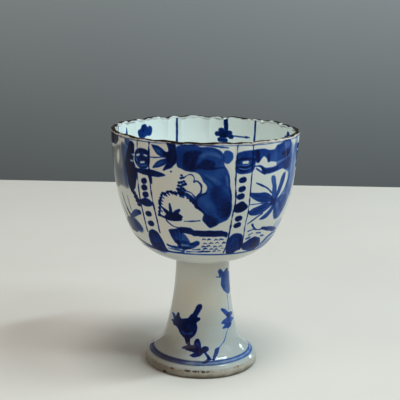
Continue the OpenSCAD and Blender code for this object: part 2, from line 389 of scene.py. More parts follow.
class Wall:
    """A painted wall: places by angle and depth, with the cobalt that lies on them. Motifs are painted about the
    wall's turn, so that the same hand paints every panel."""

    def __init__(self, depth, radius, seed):
        self.depth = depth
        self.arc = np.radians(1) * radius
        self.level = depth.mean(axis=1)
        self.cobalt = np.zeros(depth.shape)
        self.wobble = smooth_noise(seed, depth.shape, WOBBLE_CELLS)
        self.pool = smooth_noise(seed + 1, depth.shape, POOL_CELLS)
        self.sway = smooth_noise(seed + 2, (1, COLUMNS), SWAY_CELLS)
        self.turn = 0.0

    def window(self, path, margin):
        """Cells near a path, with their angles, depths and millimetres per degree."""
        low, high = path[:, 0].min(), path[:, 0].max()
        middle = (low + high) / 2 + self.turn
        turn = turn_from(middle)
        rows = np.nonzero((self.level > path[:, 1].min() - margin - LIP_SLACK)
                          & (self.level < path[:, 1].max() + margin + LIP_SLACK))[0]
        reach = (high - low) / 2 + margin / self.arc[rows].min()
        columns = np.nonzero(np.abs(turn) < reach)[0]
        cells = np.ix_(rows, columns)
        return cells, turn[columns][None, :] + middle - self.turn, self.depth[cells], self.arc[cells]

    def gap(self, path, angle, depth, scale, widths):
        """Distance of cells from a path of some width."""
        least = np.full(depth.shape, FAR)
        for (a, d), (a2, d2), w, w2 in zip(path[:-1, :2], path[1:, :2], widths[:-1], widths[1:]):
            x, y, run, fall = (angle - a) * scale, depth - d, (a2 - a) * scale, d2 - d
            share = np.clip((x * run + y * fall) / (run**2 + fall**2 + TINY), 0, 1)
            least = np.minimum(least, np.hypot(x - share * run, y - share * fall) - (w + (w2 - w) * share) / 2)
        return least

    def lay(self, cells, gap, strength, soft):
        """Adds colour by its density, so that full strokes stay dark where less of it gathered."""
        density = -np.log(1 - min(strength, FULL)) * (1 + POOLING * self.pool[cells])
        self.cobalt[cells] = 1 - (1 - self.cobalt[cells]) * np.exp(-density * smooth_step(soft, -soft, gap))

    def wipe(self, cells, gap, share, soft):
        """Takes a share of the colour off again."""
        self.cobalt[cells] *= 1 - share * smooth_step(soft, -soft, gap)

    def stroke(self, *places, strength=0.9, width=None, soft=0.32, lift=False):
        """A stroke through places (angle, depth, width), or (angle, depth) with one width."""
        places = [p if len(p) == 3 else (*p, width) for p in places]
        path = smooth_path(places)
        cells, angle, depth, scale = self.window(path, path[:, 2].max() / 2 + soft + STROKE_MARGIN)
        gap = self.gap(path, angle, depth, scale, np.maximum(path[:, 2], LEAST_WIDTH))
        gap += EDGE_WOBBLE * self.wobble[cells]
        (self.wipe if lift else self.lay)(cells, gap, strength, soft)

    def strokes(self, *lines, **style):
        """Several strokes in one style."""
        for places in lines:
            self.stroke(*places, **style)

    def lift(self, *places, **style):
        """A stroke that takes colour off again."""
        self.stroke(*places, lift=True, **style)

    def wash(self, *outline, strength=0.6, soft=0.4, edge=0.0, lift=False):
        """A filled shape, with a darker edge where the colour gathered."""
        path = smooth_path(outline, closed=True)
        path = np.concatenate([path, path[:1]])
        cells, angle, depth, scale = self.window(path, soft + WASH_MARGIN)
        inside = np.zeros(depth.shape, bool)
        for (a, d), (a2, d2) in zip(path[:-1], path[1:]):
            crosses = (d > depth) != (d2 > depth)
            rise = d2 - d if d2 != d else TINY
            inside ^= crosses & (angle < a + (depth - d) / rise * (a2 - a))
        gap = self.gap(path, angle, depth, scale, np.zeros(len(path)))
        gap = np.where(inside, -gap, gap) + EDGE_WOBBLE * self.wobble[cells]
        (self.wipe if lift else self.lay)(cells, gap, strength, soft)
        if edge:
            self.lay(cells, np.abs(gap) - POOLED_EDGE, edge, POOLED_SOFT)

    def dab(self, angle, depth, wide=2.4, tall=2.2, strength=0.9, tilt=0.0):
        """A short lying dab of the brush, wide and tall in millimetres."""
        half = max(wide - tall, LEAST_RUN) / 2 / np.median(self.arc[np.abs(self.level - depth).argmin()])
        self.stroke((angle - half, depth + tilt, tall), (angle + half, depth - tilt, tall), strength=strength)

    def dabs(self, places, size, strength):
        """Small dabs of one size."""
        for angle, depth in places:
            self.dab(angle, depth, wide=1.25 * size, tall=size, strength=strength)

    def ring(self, depth, width, strength, soft=0.42):
        """A line round the whole wall, drawn on the wheel."""
        cells = np.ix_(np.nonzero(np.abs(self.level - depth) < width + RING_MARGIN)[0], np.arange(COLUMNS))
        self.lay(cells, np.abs(self.depth[cells] - depth + RING_SWAY * self.sway) - width / 2, strength, soft)


# Motifs of the bowl, each about the middle of its panel or divider

PANEL_LINE = dict(width=0.42, strength=0.97, soft=0.18)
BROAD_LINE = dict(width=0.62, strength=0.97, soft=0.22)


def divider_chain(wall, beads, leaf, tassel, belly, streaks):
    """Beads, leaf and tassel down the middle of a divider, with pale streaks that the brush left about an angle."""
    for angle, depth in beads:
        wall.dab(angle, depth, wide=3.6, tall=2.5, strength=0.97, tilt=0.15)
    wall.wash(*leaf, strength=0.98)
    wall.wash(*tassel, strength=0.9, edge=0.3)
    wall.stroke(*belly, strength=0.4, soft=1.2)
    for side in (-1.6, -0.5, 0.6, 1.7):
        wall.stroke((streaks + side, 47.5, 0.3), (streaks + 1.7 * side, 51.5, 0.7), (streaks + 2 * side, 55.5, 0.3),
                    strength=0.2, soft=0.4, lift=True)


def divider_left(wall):
    """Divider on the left of a landscape: two lines, a rosette, beads, a leaf and a tassel."""
    wall.strokes([(4, 1.5), (3.9, 8), (3.8, 15), (4.2, 22), (4.6, 28), (5.4, 34), (6, 40), (6.2, 46)],
                 [(-5.8, 15), (-5.6, 24), (-5.4, 32), (-5.2, 40), (-5.6, 47)], **BROAD_LINE)
    wall.stroke((-5.2, 1.5), (-5.3, 5.5), width=0.4, strength=0.6)
    wall.wash((-7, 9.5), (-5.5, 6.2), (-1, 5.3), (3, 6), (4.2, 9), (3.6, 12.3), (0, 14.2), (-4, 13.9), (-6.6, 12),
              strength=0.9, edge=0.75)
    wall.stroke((-6, 8, 0.8), (-3, 6.4, 1.4), (0, 6.6, 1.0), (3, 7, 0.8), strength=0.9)
    wall.stroke((-2.6, 8.6, 0.8), (-1.2, 9.8, 1.6), (1.6, 10, 1.0), strength=0.94)
    wall.lift((-5.2, 8.6), (-3.4, 8.2), width=1.0, strength=0.9)
    wall.lift((0.7, 8), (2.4, 8.2), width=0.9, strength=0.9)
    wall.lift((-2.2, 11.7), (0.2, 11.3), width=1.1, strength=0.92)
    wall.lift((-6.2, 9.9), (-5.4, 11.4), width=0.5, strength=0.5)
    wall.lift((-5, 12.9), (-1, 13.3), (2.5, 12.4), width=0.6, strength=0.4)
    divider_chain(wall, beads=[(-0.5, 20.3), (-0.8, 23.6), (-0.2, 26.9), (-0.4, 36.7), (0, 41.8)],
                  leaf=[(-6.8, 31), (-3.5, 29.6), (0, 28.9), (3, 29.5), (4.6, 30.8), (2.5, 32.3), (-1, 32.8),
                        (-4.5, 32.2)],
                  tassel=[(0.5, 45.2), (3.5, 46), (5.5, 48), (6.8, 51), (7.6, 55), (7.6, 58), (3, 58.6), (-3, 58.6),
                          (-7, 58), (-6.8, 54), (-5.8, 50), (-4.2, 47), (-2, 45.7)],
                  belly=[(0.5, 47.5, 3), (1, 52, 6), (0.5, 57, 7)], streaks=1)


def divider_right(wall):
    """Divider on the right of a landscape: the same parts, with a coiled knot at the top."""
    wall.strokes([(-3.5, 0.8), (-3.8, 8), (-4, 13), (-3.7, 20), (-3.3, 24), (-3, 29), (-4, 35), (-4.2, 40),
                  (-4.5, 46), (-5, 52), (-5.7, 57)],
                 [(6.4, 1.8), (6.3, 15), (6.3, 25), (6.5, 30), (6.6, 35), (6.2, 40), (6.8, 45), (7.5, 50), (7.8, 55)],
                 **PANEL_LINE)
    wall.wash((-3.6, 5.2), (0, 4.4), (6, 4.2), (10, 4.5), (10, 8.4), (6, 8.8), (0, 8.4), (-3.6, 8.8), strength=0.76)
    wall.wash((-4, 8.5), (0, 7.6), (5, 7.6), (8, 8.6), (7.6, 12.4), (5.5, 14.4), (1, 14.8), (-3, 14), (-4.2, 11),
              strength=0.78, edge=0.5)
    wall.lift((0.4, 9.6), (2.8, 9.5), width=1.4, strength=0.95)
    wall.stroke((-3, 9, 0.8), (-1.6, 11.2, 1.0), (2, 11.9, 1.0), (5.6, 11, 1.2), (7, 8.8, 1.0), strength=0.9)
    wall.stroke((-3.4, 11.6, 0.7), (-1, 13.2, 0.9), (3, 13.6, 0.9), (7, 12, 0.7), strength=0.85)
    wall.lift((-2, 12.3), (2, 12.8), (5, 12.4), width=0.4, strength=0.5)
    wall.lift((-2.6, 10.6), (1.5, 11.1), (4, 10.6), width=0.4, strength=0.45)
    divider_chain(wall, beads=[(0.6, 17.8), (0.6, 22), (0.1, 25.7), (0.6, 36.9), (0.5, 40.3)],
                  leaf=[(-3.2, 30.6), (-1, 29), (2, 28.3), (4, 29.6), (5.7, 31.2), (3.5, 32.8), (0, 33.4), (-2.9, 33)],
                  tassel=[(0, 45), (-3.7, 47), (-4.5, 50), (-4.7, 53), (-4.2, 55), (-2.5, 57.5), (2.5, 57.8),
                          (4.5, 56.2), (7.2, 54.5), (8, 52), (7, 49), (5.5, 46)],
                  belly=[(0.5, 47, 3), (2, 50.5, 6), (0.5, 54, 4)], streaks=1.2)


def landscape_branch(wall):
    """Branch that hangs in from the upper left of a landscape, and a ribbon leaf across the divider."""
    wall.stroke((-24.3, 2.9, 0.5), (-21.5, 4, 2.8), (-18.5, 5.4, 3.6), (-15.5, 6.8, 2.4), strength=0.86)
    wall.stroke((-23.2, 13.2, 0.5), (-20.2, 11.7, 2.4), (-17.2, 10.4, 2.8), (-14.2, 9.2, 1.8), strength=0.84)
    wall.stroke((-18, 5.8, 1.2), (-15.5, 6.4, 2.0), (-12.5, 6.6, 2.6), strength=0.88)
    wall.stroke((-16.3, 13.8, 0.6), (-13.8, 12.2, 2.2), (-11.5, 10.6, 2.4), (-10, 9, 2), strength=0.93)
    wall.lift((-22.4, 3.8, 0.5), (-19.5, 5.2, 1.3), (-17, 6.4, 0.5), strength=0.3, soft=0.5)
    wall.lift((-21.6, 12.3, 0.4), (-18.7, 11, 1.0), (-16.2, 10.1, 0.4), strength=0.3, soft=0.5)
    wall.stroke((-25.5, 8.6), (-21, 8.4), (-16, 7.8), width=0.35, strength=0.8)
    wall.wash((-14.2, 1), (-9.5, 1.2), (-8.6, 5), (-8.4, 9.5), (-10.5, 11), (-13.5, 9.6), (-14.6, 7), (-12.8, 4.5),
              strength=0.97)
    wall.dab(-11.8, 14.3, 1.0, 0.8)
    wall.stroke((-36.2, 15.8, 1.4), (-31, 15.9, 2.4), (-25, 16, 2.8), (-20, 16.2, 2.4), (-15.6, 16.3, 0.4),
                strength=0.95)
    wall.stroke((-26.2, 17, 2), (-25.4, 19, 1.6), (-24.8, 21, 0.4), strength=0.93)


def landscape_cliff(wall):
    """Overhanging cliff of a landscape, in a full wash with darker clefts."""
    wall.wash((-8.5, 3.6), (-6.5, 2.2), (-3.5, 1.7), (3, 1.8), (5.5, 2.6), (9, 2.4), (13, 2.8), (16.4, 4),
              (18.6, 6.5), (18.6, 9.5), (19.4, 11.2), (21, 13.4), (22, 16.5), (22.4, 20), (23.2, 23), (24.2, 27),
              (24.5, 31), (24, 35), (22.8, 37), (20, 38), (17.5, 38.8), (15.3, 40.2), (12.5, 41), (10.3, 40),
              (8.3, 38.2), (7.3, 36.6), (8.3, 34.3), (7, 32.6), (5, 31.2), (2.6, 30.2), (3, 27.5), (4.8, 25.2),
              (8.4, 23.6), (9.6, 21.4), (9, 19.5), (7.4, 18), (5.8, 15.8), (4.2, 14.4), (1.5, 13.6), (-2, 13.5),
              (-5.5, 12.4), (-8, 11), strength=0.72, edge=0.35)
    wall.wash((18.6, 4.4), (21, 3.8), (23.7, 5.2), (23.6, 8.2), (21, 9.8), (18.4, 8.6), strength=0.66)
    wall.stroke((-4, 1.6), (3, 1.4), (8, 1.5), (13, 1.8), (16, 2.2), (21, 2.6), width=0.45, strength=0.72)
    wall.wash((-3, 5.4), (0.5, 4.4), (4, 4.2), (5.6, 5.2), (3.4, 7.8), (2.6, 10.2), (2.6, 13), (-0.8, 13.4),
              (-3.8, 12), (-4, 8.6), strength=0.88, soft=1.0)
    wall.wash((3, 12), (5.5, 9.6), (9, 8), (12, 8.3), (13.5, 10), (12, 11.8), (8, 12.5), strength=0.8, soft=0.7)
    wall.stroke((5, 2.9), (9, 2.6), (13, 3.2), (16.3, 5), (17, 8), (16, 10.8), width=0.7, strength=0.25)
    wall.stroke((8, 12.4, 1), (13, 12.1, 0.9), (18.5, 11.6, 0.6), strength=0.72)
    wall.wash((12.5, 21), (16, 20.5), (20, 23), (23, 27), (24.3, 31), (23.3, 35), (19, 36), (16, 33), (14.5, 29),
              (11.5, 26), strength=0.7, soft=1.3)
    wall.wash((8.3, 34.5), (12, 35), (16, 36.3), (17.2, 38), (15, 40), (12.5, 40.8), (10, 39.5), (7.8, 37),
              strength=0.7, soft=0.6)
    wall.stroke((8, 16, 0.6), (12, 18.5, 1.4), (15, 21, 1.2), strength=0.5, soft=0.6)
    wall.stroke((8.8, 34.2, 0.9), (7, 32.7, 1), (5, 31.3, 1), (2.6, 30.2, 0.8), (3, 27.5, 0.6), (5, 25, 0.5),
                (9.3, 23.6, 0.5), strength=0.85)
    wall.stroke((19, 11.4), (21.2, 13.4), (22.2, 16.5), (22.6, 20), (23.4, 23), (24.3, 27), width=0.5, strength=0.75)
    wall.lift((9, 15.5), (13, 17), (16, 18.5), width=2.0, strength=0.16, soft=0.8)
    wall.lift((7, 27), (10, 29.5), width=2.6, strength=0.12, soft=0.8)
    wall.lift((20.6, 15.5), (21.5, 20), width=1.0, strength=0.35, soft=0.6)
    wall.lift((5.5, 6.4), (9, 5.4), (13, 5.4), (16.4, 6.6), width=1.8, strength=0.25, soft=0.8)


def landscape_rocks(wall):
    """White rock, dabbed foliage and hill of a landscape."""
    wall.stroke((-4, 16.7), (-2, 15.5), (0, 15), (1.5, 15.8), (2, 17), (1.8, 18.6), (3, 18), (4.5, 18.5), (6, 20),
                (6.2, 22), (5.8, 23.5), (4.5, 24.5), (3.5, 25.5), width=0.45, strength=0.94)
    wall.stroke((-2.5, 23), (0, 23.6), (1.5, 24.8), (2.8, 26), width=0.45, strength=0.93)
    wall.dabs([(-5.8, 17), (-4.5, 16.7), (-4, 18.4), (-5.5, 18.9), (-6.9, 19.2), (-7.4, 20.6), (-5.8, 20.8),
               (-4.6, 20.1), (-6.6, 22.4), (-4.6, 21.9), (-5, 23.5), (-7, 24), (-3.4, 22.7), (-4.4, 24.8), (-5.4, 15.6),
               (-3.2, 19.6), (-7.8, 22.2)], 0.9, 0.95)
    wall.stroke((-5.5, 24, 1.2), (-2.5, 24.7, 2.0), (0, 26.2, 2.2), (2.2, 28.2, 2.0), (3.6, 30.6, 1.0), strength=0.88)
    for shift in (0.0, 1.0, 2.0):
        wall.dabs([(-7 + shift / 2, 23.4 + shift), (-4.5, 23.9 + shift), (-2, 24.3 + shift), (0, 25.6 + shift),
                   (1.5, 26.8 + shift), (2.6 + shift / 2, 28.2 + shift)], 0.8, 0.9)
    hill = smooth_path([(-6, 24.5), (-10.5, 24.2), (-13.5, 23.8), (-16, 25), (-18, 25), (-18.8, 27), (-20, 29),
                        (-20.2, 31), (-21, 34), (-21.7, 36.3)])
    wall.stroke(*hill[::4], width=0.4, strength=0.85)
    wall.dabs(hill[::3], 1.0, 0.95)
    for angle, depth in hill[4::3]:
        wall.stroke((angle, depth, 0.6), (angle + 1.8, depth + 1.1, 0.25), strength=0.9)


def landscape_plant(wall):
    """Fan of leaves on the shore of a landscape, and the shore lines."""
    wall.wash((-17.5, 36.5), (-14, 34.4), (-10, 34.2), (-7, 35.2), (-6, 37.5), (-9, 38.3), (-13, 38.5), (-17, 37.8),
              strength=0.95)
    wall.strokes([(-12.5, 36.5, 2), (-15.5, 34.3, 2.0), (-18.8, 32, 0.6)],
                 [(-12.8, 35.5, 1.8), (-13.2, 32.5, 1.4), (-13.4, 29.8, 0.5)],
                 [(-11.5, 36, 2), (-9.7, 34, 2.0), (-7.6, 32.6, 0.8)], [(-11, 37, 2), (-8, 36, 2.0), (-6, 36, 0.8)],
                 strength=0.95)
    wall.stroke((-21.7, 36.2, 0.7), (-17, 37.3, 1.2), (-12, 38, 1.0), strength=0.85)
    wall.strokes([(-17, 38.5), (-15, 40), (-12.5, 41.3), (-9, 42)], [(-4.5, 38.2), (2, 37.8), (5.5, 37.4)], width=0.4,
                 strength=0.9)


def landscape_bank(wall):
    """Bank, bar of land, boat and water of a landscape."""
    wall.wash((-20, 53.5), (-10, 52.6), (0, 53), (6, 52), (22, 51.5), (23, 57.5), (0, 58.5), (-22, 58.5),
              strength=0.1, soft=1.0)
    wall.wash((-16.3, 44), (-14, 43.3), (-10, 42.5), (-7, 42.1), (-7.5, 46), (-8.5, 50.8), (-12.3, 51), (-13.6, 49.5),
              (-15.2, 46.5), strength=0.88, edge=0.3)
    wall.wash((-8, 42), (-4, 41.5), (-1, 41.7), (0.5, 42.5), (3, 43), (18, 43), (21, 43.3), (24, 44.2), (24, 46.5),
              (21, 46), (3, 46), (0, 45.2), (-5, 44.6), (-8, 44.6), strength=0.94, edge=0.3)
    wall.wash((-7, 44.6), (-4.5, 45.6), (-1.5, 49.8), (-8, 50.4), strength=0.56)
    wall.lift((-9, 43.6), (-8.4, 46.5), (-8.8, 50), width=0.5, strength=0.25)
    wall.lift((-11.6, 44.2), (-11, 47), (-11.4, 50), width=0.45, strength=0.15)
    for row in range(3):
        wall.stroke((-6.5, 46 + row * 1.5), (-4 + row, 46.4 + row * 1.5), width=0.4, strength=0.45)
    wall.stroke((-10.5, 50, 1.8), (-9.8, 53, 1.6), strength=0.9)
    wall.wash((-8, 49.6), (-3, 50), (-0.5, 50.3), (1, 49.8), (3, 48.8), (4.8, 49), (5, 50.5), (3, 52), (0, 53.5),
              (-4, 54.3), (-8, 55), strength=0.66, edge=0.3)
    wall.lift((-8, 51.9), (-3, 51.8), width=0.9, strength=0.5)
    wall.stroke((-1, 50.8, 1.5), (2, 50.5, 2.4), (4.3, 49.8, 1.2), strength=0.6)
    wall.stroke((-20, 52.7, 1.0), (-17, 53.6, 1.4), (-10, 53.8, 1.6), (-2, 53.6, 1.0), strength=0.8)
    wall.strokes([(-20, 55.2), (-14, 55.6), (-7, 55.8)], [(0, 54.6), (5, 54.1)], [(-5, 56.2), (4, 55.9), (13, 55.3)],
                 [(-21.5, 57.4), (-14, 57.6), (-8, 56.8)], width=0.6, strength=0.75)
    hand = np.random.default_rng(17)
    for row, depth in enumerate((47.8, 49.8, 51.7, 53.5, 55.2)):
        for start in (7.4, 12.0, 16.6, 20.8):
            left = start + (row % 2) * 1.9 - 0.9 + hand.uniform(-0.8, 0.8)
            down, reach = depth + hand.uniform(-0.3, 0.3), hand.uniform(1.8, 3.0)
            wall.stroke((left, down + 0.45, 0.3), (left + 0.4 * reach, down - 0.1, 0.65),
                        (left + reach, down + 0.25, 0.25), strength=0.8)


def leaf_panel(wall):
    """Panel with a fan of long leaves under a ribbon and a bridge, with a pale wash on its right."""
    wall.wash((9, 4), (16, 4.5), (24, 6), (24.5, 22), (20, 30), (15, 38), (8, 40), (4, 36), (8, 28), (10, 20),
              strength=0.3, soft=1.5)
    wall.wash((9, 24), (16, 25), (20, 28), (15, 36), (9, 38), (6, 34), (9, 29), strength=0.16, soft=1.5)
    wall.stroke((19.6, 2.4), (18, 12), (18.4, 20), (17.6, 27), width=5.5, strength=0.2, soft=0.8)
    wall.stroke((9.4, 5, 3.4), (9.6, 10, 3.8), (10.4, 16, 3.4), (11, 21, 2.6), (9.6, 27, 2), strength=0.26, soft=1.0)
    wall.wash((-22, 4.5), (-17, 4), (-12, 4.7), (-8, 4.5), (-5, 3.2), (0, 2), (4, 1), (7, 1.4), (9.5, 3.2), (9, 6.5),
              (6, 9.2), (0, 9.8), (-6, 10.6), (-11, 10), (-12.5, 10.2), (-14, 8.5), (-16.5, 7.3), (-18.5, 9),
              (-20.5, 10), (-21.7, 8), strength=0.76, edge=0.3)
    wall.stroke((-20.6, 6.3), (-20.2, 9.2), width=2.2, strength=0.85, soft=0.5)
    wall.stroke((-12.7, 7.2), (-12.3, 9.6), width=1.7, strength=0.75, soft=0.5)
    wall.stroke((0, 7.4, 1.6), (4, 8, 3.0), (7.8, 7, 2.2), strength=0.85, soft=0.6)
    wall.wash((1, 2.8), (4, 1.6), (8, 2.4), (8, 4.8), (3, 5.4), strength=0.36, soft=0.8, lift=True)
    wall.stroke((-22, 11.7, 0.6), (-18.5, 11.8, 0.9), (-16, 13.2, 1.2), strength=0.88)
    wall.stroke((-21, 12.8, 0.5), (-17, 14.9, 0.8), (-14, 15.8, 1.0), strength=0.82)
    wall.wash((-17, 12.9), (-12, 13.1), (-6, 12.8), (-2, 11.8), (4, 10.8), (9, 9.8), (9, 14.6), (5, 15.4), (0, 14.6),
              (-6, 15.4), (-12, 16.1), (-16, 15.2), strength=0.72)
    wall.wash((3, 9.8), (7, 8.6), (10.6, 8.4), (11.4, 14), (10, 17), (5.4, 16), (2.4, 14), strength=0.4, soft=0.8)
    wall.wash((-5, 10.2), (0, 9.2), (4, 8.8), (4, 11.6), (-1, 12.6), (-5, 12.6), strength=0.5, soft=0.6)
    wall.stroke((-15, 14.4, 1.8), (-10, 14.6, 2.2), (-4, 13.8, 1.6), strength=0.7, soft=0.5)
    leaf_fan(wall)
    wall.stroke((-20, 19.8), (-12, 22.6), (-6.5, 25.8), width=0.5, strength=0.9)
    wall.stroke((-23, 30.2), (-15, 30.2), (-8, 30.8), width=0.4, strength=0.8)
    wall.stroke((-22, 40.2), (-15, 36.9), (-11.5, 35.6), width=0.45, strength=0.92)
    wall.stroke((3, 31, 1), (7, 34, 2.2), (10, 37, 1.2), strength=0.45)
    wall.stroke((13, 31), (11, 37), width=0.8, strength=0.4)
    leaf_panel_shore(wall)


def leaf_fan(wall):
    """Long leaves from one hub, each in a wash with a darker edge and vein."""
    wall.wash((-23.5, 24.6), (-17, 25), (-12, 25.3), (-7, 27), (-4, 29.5), (-6, 30), (-10, 30), (-16, 29.3),
              (-20, 27.5), (-23, 26), strength=0.68, edge=0.5)
    wall.wash((-22.5, 33.5), (-17, 31.8), (-12, 31), (-6, 30.8), (-4, 31.8), (-7, 33.2), (-12, 35), (-16, 35.8),
              (-19, 35.7), (-22, 35), strength=0.7, edge=0.5)
    wall.stroke((-13, 38.6, 0.4), (-8, 37.4, 2.6), (-4, 34.8, 2.6), (-2.5, 32, 1.8), strength=0.75)
    wall.strokes([(-21, 25.6), (-14, 27), (-6, 28.8)], [(-20, 34.6), (-13, 33), (-6, 31.6)], width=0.5, strength=0.45)
    wall.wash((-8.4, 17.9), (-5.6, 18), (-3.5, 22), (-2, 27), (-1.5, 31), (-5.5, 31), (-6, 26), (-7, 22),
              strength=0.58, edge=0.4)
    wall.wash((2, 18), (5.5, 17), (5, 20.5), (3.2, 24), (1, 27.5), (-2, 30), (-1.5, 26.5), (0, 22), strength=0.6,
              edge=0.3)
    wall.stroke((4.6, 19), (2, 23.6), (-1.5, 29), width=0.6, strength=0.45)
    wall.wash((-1.5, 29.5), (4, 28.5), (9, 28.5), (13, 30), (13, 36), (10, 40.2), (4, 40.2), (0.5, 36.5), (-2.5, 33),
              strength=0.45, soft=0.7)
    wall.stroke((-1.5, 32, 1.2), (0.5, 35.5, 2.4), (3.5, 39, 2.2), (6, 40, 1.0), strength=0.5, soft=0.6)
    wall.stroke((12, 18.5, 0.8), (8.5, 24.5, 2), (4, 28.5, 2.4), (-1, 31, 2.4), strength=0.35)
    wall.dab(-3.5, 30.6, 4, 3.4, strength=0.6)


def leaf_panel_shore(wall):
    """Islet, ripples and dark rocks at the foot of a leaf panel."""
    wall.strokes([(-18, 41, 1.0), (-16.5, 42.4, 1.0), (-14, 43.9, 0.6), (-10, 44.5, 0.45), (-7, 44, 0.6)],
                 [(-8, 43.8, 0.8), (-4, 44.6, 1.8), (2, 45.6, 2.6), (8, 46.8, 2.4), (14, 47.8, 1.0)], strength=0.8)
    wall.stroke((-6, 44.2, 0.6), (-2, 45.2, 1.4), strength=0.5)
    wall.strokes([(-20, 44.4), (-16, 43.7)], [(-18.5, 46.6), (-16, 45.9)], [(-6, 48.4), (-3, 48.8)],
                 [(-20, 48.8), (-17, 48)], [(-12, 46.2), (-8, 46.6)], width=0.8, strength=0.55, soft=0.5)
    wall.wash((-22.4, 52.5), (-18, 50), (-15, 49), (-12, 48.4), (-9, 49.2), (-6, 50.4), (-3.6, 53), (-3, 55.5),
              (-5, 58), (-10, 58), (-14, 57), (-18, 56), (-21, 54.4), strength=0.86, edge=0.3)
    wall.stroke((-14, 51, 2), (-10.5, 53, 5), (-7, 55, 2.6), strength=0.6, soft=0.9)
    wall.stroke((-3, 55.4, 0.6), (1, 52.8, 2), (5, 50.6, 2.6), (10, 49.6, 1.8), (16, 49.4, 0.8), strength=0.55)
    wall.wash((-3, 56), (2, 53.6), (10, 51.5), (20, 51), (22, 56), (10, 58), (0, 58), strength=0.34, soft=1.0)
    wall.wash((22, 44.5), (18, 42), (12, 41.2), (7, 43), (5, 46.5), (8, 49.6), (13, 49), (18, 47), strength=0.2,
              soft=0.8)
    wall.wash((10, 54.4), (18, 53.8), (23, 54.6), (23.5, 58), (16, 58.4), (9, 58), strength=0.5, soft=0.6)


def tree_panel(wall):
    """Panel with a tree on its right, a wash of far hills, and grass and rocks below, with a painted highlight lifted
    out of the wash.
    """
    wall.wash((-18, 1.4), (-8, 1.6), (0, 1.4), (4, 2.6), (2, 5.4), (-8, 6.4), (-18, 6), strength=0.86, soft=0.6)
    wall.wash((-22, 9), (-15, 7.4), (-6, 8), (5, 5.8), (15, 5.6), (15, 16), (14, 25), (9, 26.4), (3, 25.4),
              (-4, 27.8), (-11, 26), (-17, 28.4), (-23, 26), strength=0.15, soft=1.4)
    wall.wash((-23, 19), (-16, 16), (-10, 18), (-2, 14), (6, 17), (14, 14), (14, 24), (6, 25), (-4, 27), (-17, 27.6),
              (-23, 25), strength=0.12, soft=1.4)
    # Painted highlight: a pale streak lifted out of the wash
    wall.lift((4.5, 9, 1.4), (3.4, 12, 3.2), (2.4, 15.3, 1.2), strength=0.85, soft=1.0)
    wall.wash((9.4, 5.2), (14, 4.4), (18, 6), (17, 14), (17, 22), (14, 25.4), (11, 24), (10.4, 14), strength=0.34,
              soft=1.4)
    wall.wash((13.4, 2.4), (17, 2), (19, 2.8), (18.4, 4.6), (15, 4.8), strength=0.5, soft=0.6)
    wall.stroke((20.2, 4.6, 3.8), (19.2, 7.5, 4.8), (17.6, 12, 6), (18.2, 15.8, 8), (19, 19, 7.2), (18.4, 22.6, 5.6),
                (17.8, 25, 3.2), (17.6, 27, 1), strength=0.99)
    for angle, depth in [(21.5, 8.8), (20, 11.8)]:
        wall.stroke((angle - 0.8, depth), (angle + 0.8, depth), width=1.0, strength=0.8, lift=True)
    for row in range(3):
        wall.dabs([(17.6 + row * 1.2, 26 + row * 0.6), (18.8 + row * 1.2, 27.6 + row * 0.6),
                   (19.8 + row * 1.2, 29.4 + row * 0.4), (21 + row, 31.2), (22 + row * 0.6, 33)], 1.3, 0.95)
    wall.stroke((3, 29.7, 0.3), (5.5, 36.3, 1.3), (9.2, 41.4, 2.2), strength=0.6)
    wall.stroke((-3, 34, 0.3), (1, 40, 1.0), (6, 45, 1.4), strength=0.45)
    wall.stroke((10.5, 29.9, 0.3), (11.8, 36.9, 0.7), strength=0.4)
    wall.stroke((19, 37.2, 2.8), (15, 38.6, 2.8), (10, 40.6, 1.6), strength=0.62)
    wall.dab(21, 36.9, 2.6, 2.2, strength=0.9)
    wall.wash((20, 47), (18, 43.4), (12, 41.2), (5, 42), (-4, 45), (0, 49), (8, 49.6), (13, 48.4), (17, 48.8),
              strength=0.5, soft=0.8)
    wall.wash((19.6, 46.6), (17.6, 43.8), (13, 42.2), (10, 44.6), (13, 47.6), strength=0.6, soft=0.6)
    wall.stroke((-6, 52, 0.6), (6, 54.4, 1.6), (14, 56.2, 2.2), (22, 57.2, 2.2), strength=0.8)


def paint_bowl(wall):
    """All panels of the outside: landscapes and leaf panels by turns, with their dividers."""
    for pair in range(PANELS // 2):
        right_divider = FIRST_DIVIDER + pair * 2 * PANEL_ANGLE
        landscape = right_divider - PANEL_ANGLE / 2
        wall.turn = landscape + PANEL_ANGLE
        (tree_panel if pair == 2 else leaf_panel)(wall)
        wall.turn = landscape
        for motif in (landscape_branch, landscape_cliff, landscape_rocks, landscape_plant, landscape_bank):
            motif(wall)
        wall.turn = landscape - PANEL_ANGLE / 2
        divider_left(wall)
        wall.turn = right_divider
        divider_right(wall)
    wall.turn = 0.0
    wall.ring(58.2, 1.1, 0.6)
    wall.ring(1.7, 0.4, 0.45)


# How far the lines inside stray from the dividers, in degrees, as a hand draws them
LINE_SWAY = (0.0, 0.8, 1.0, -2.0, -0.8, 0.5)


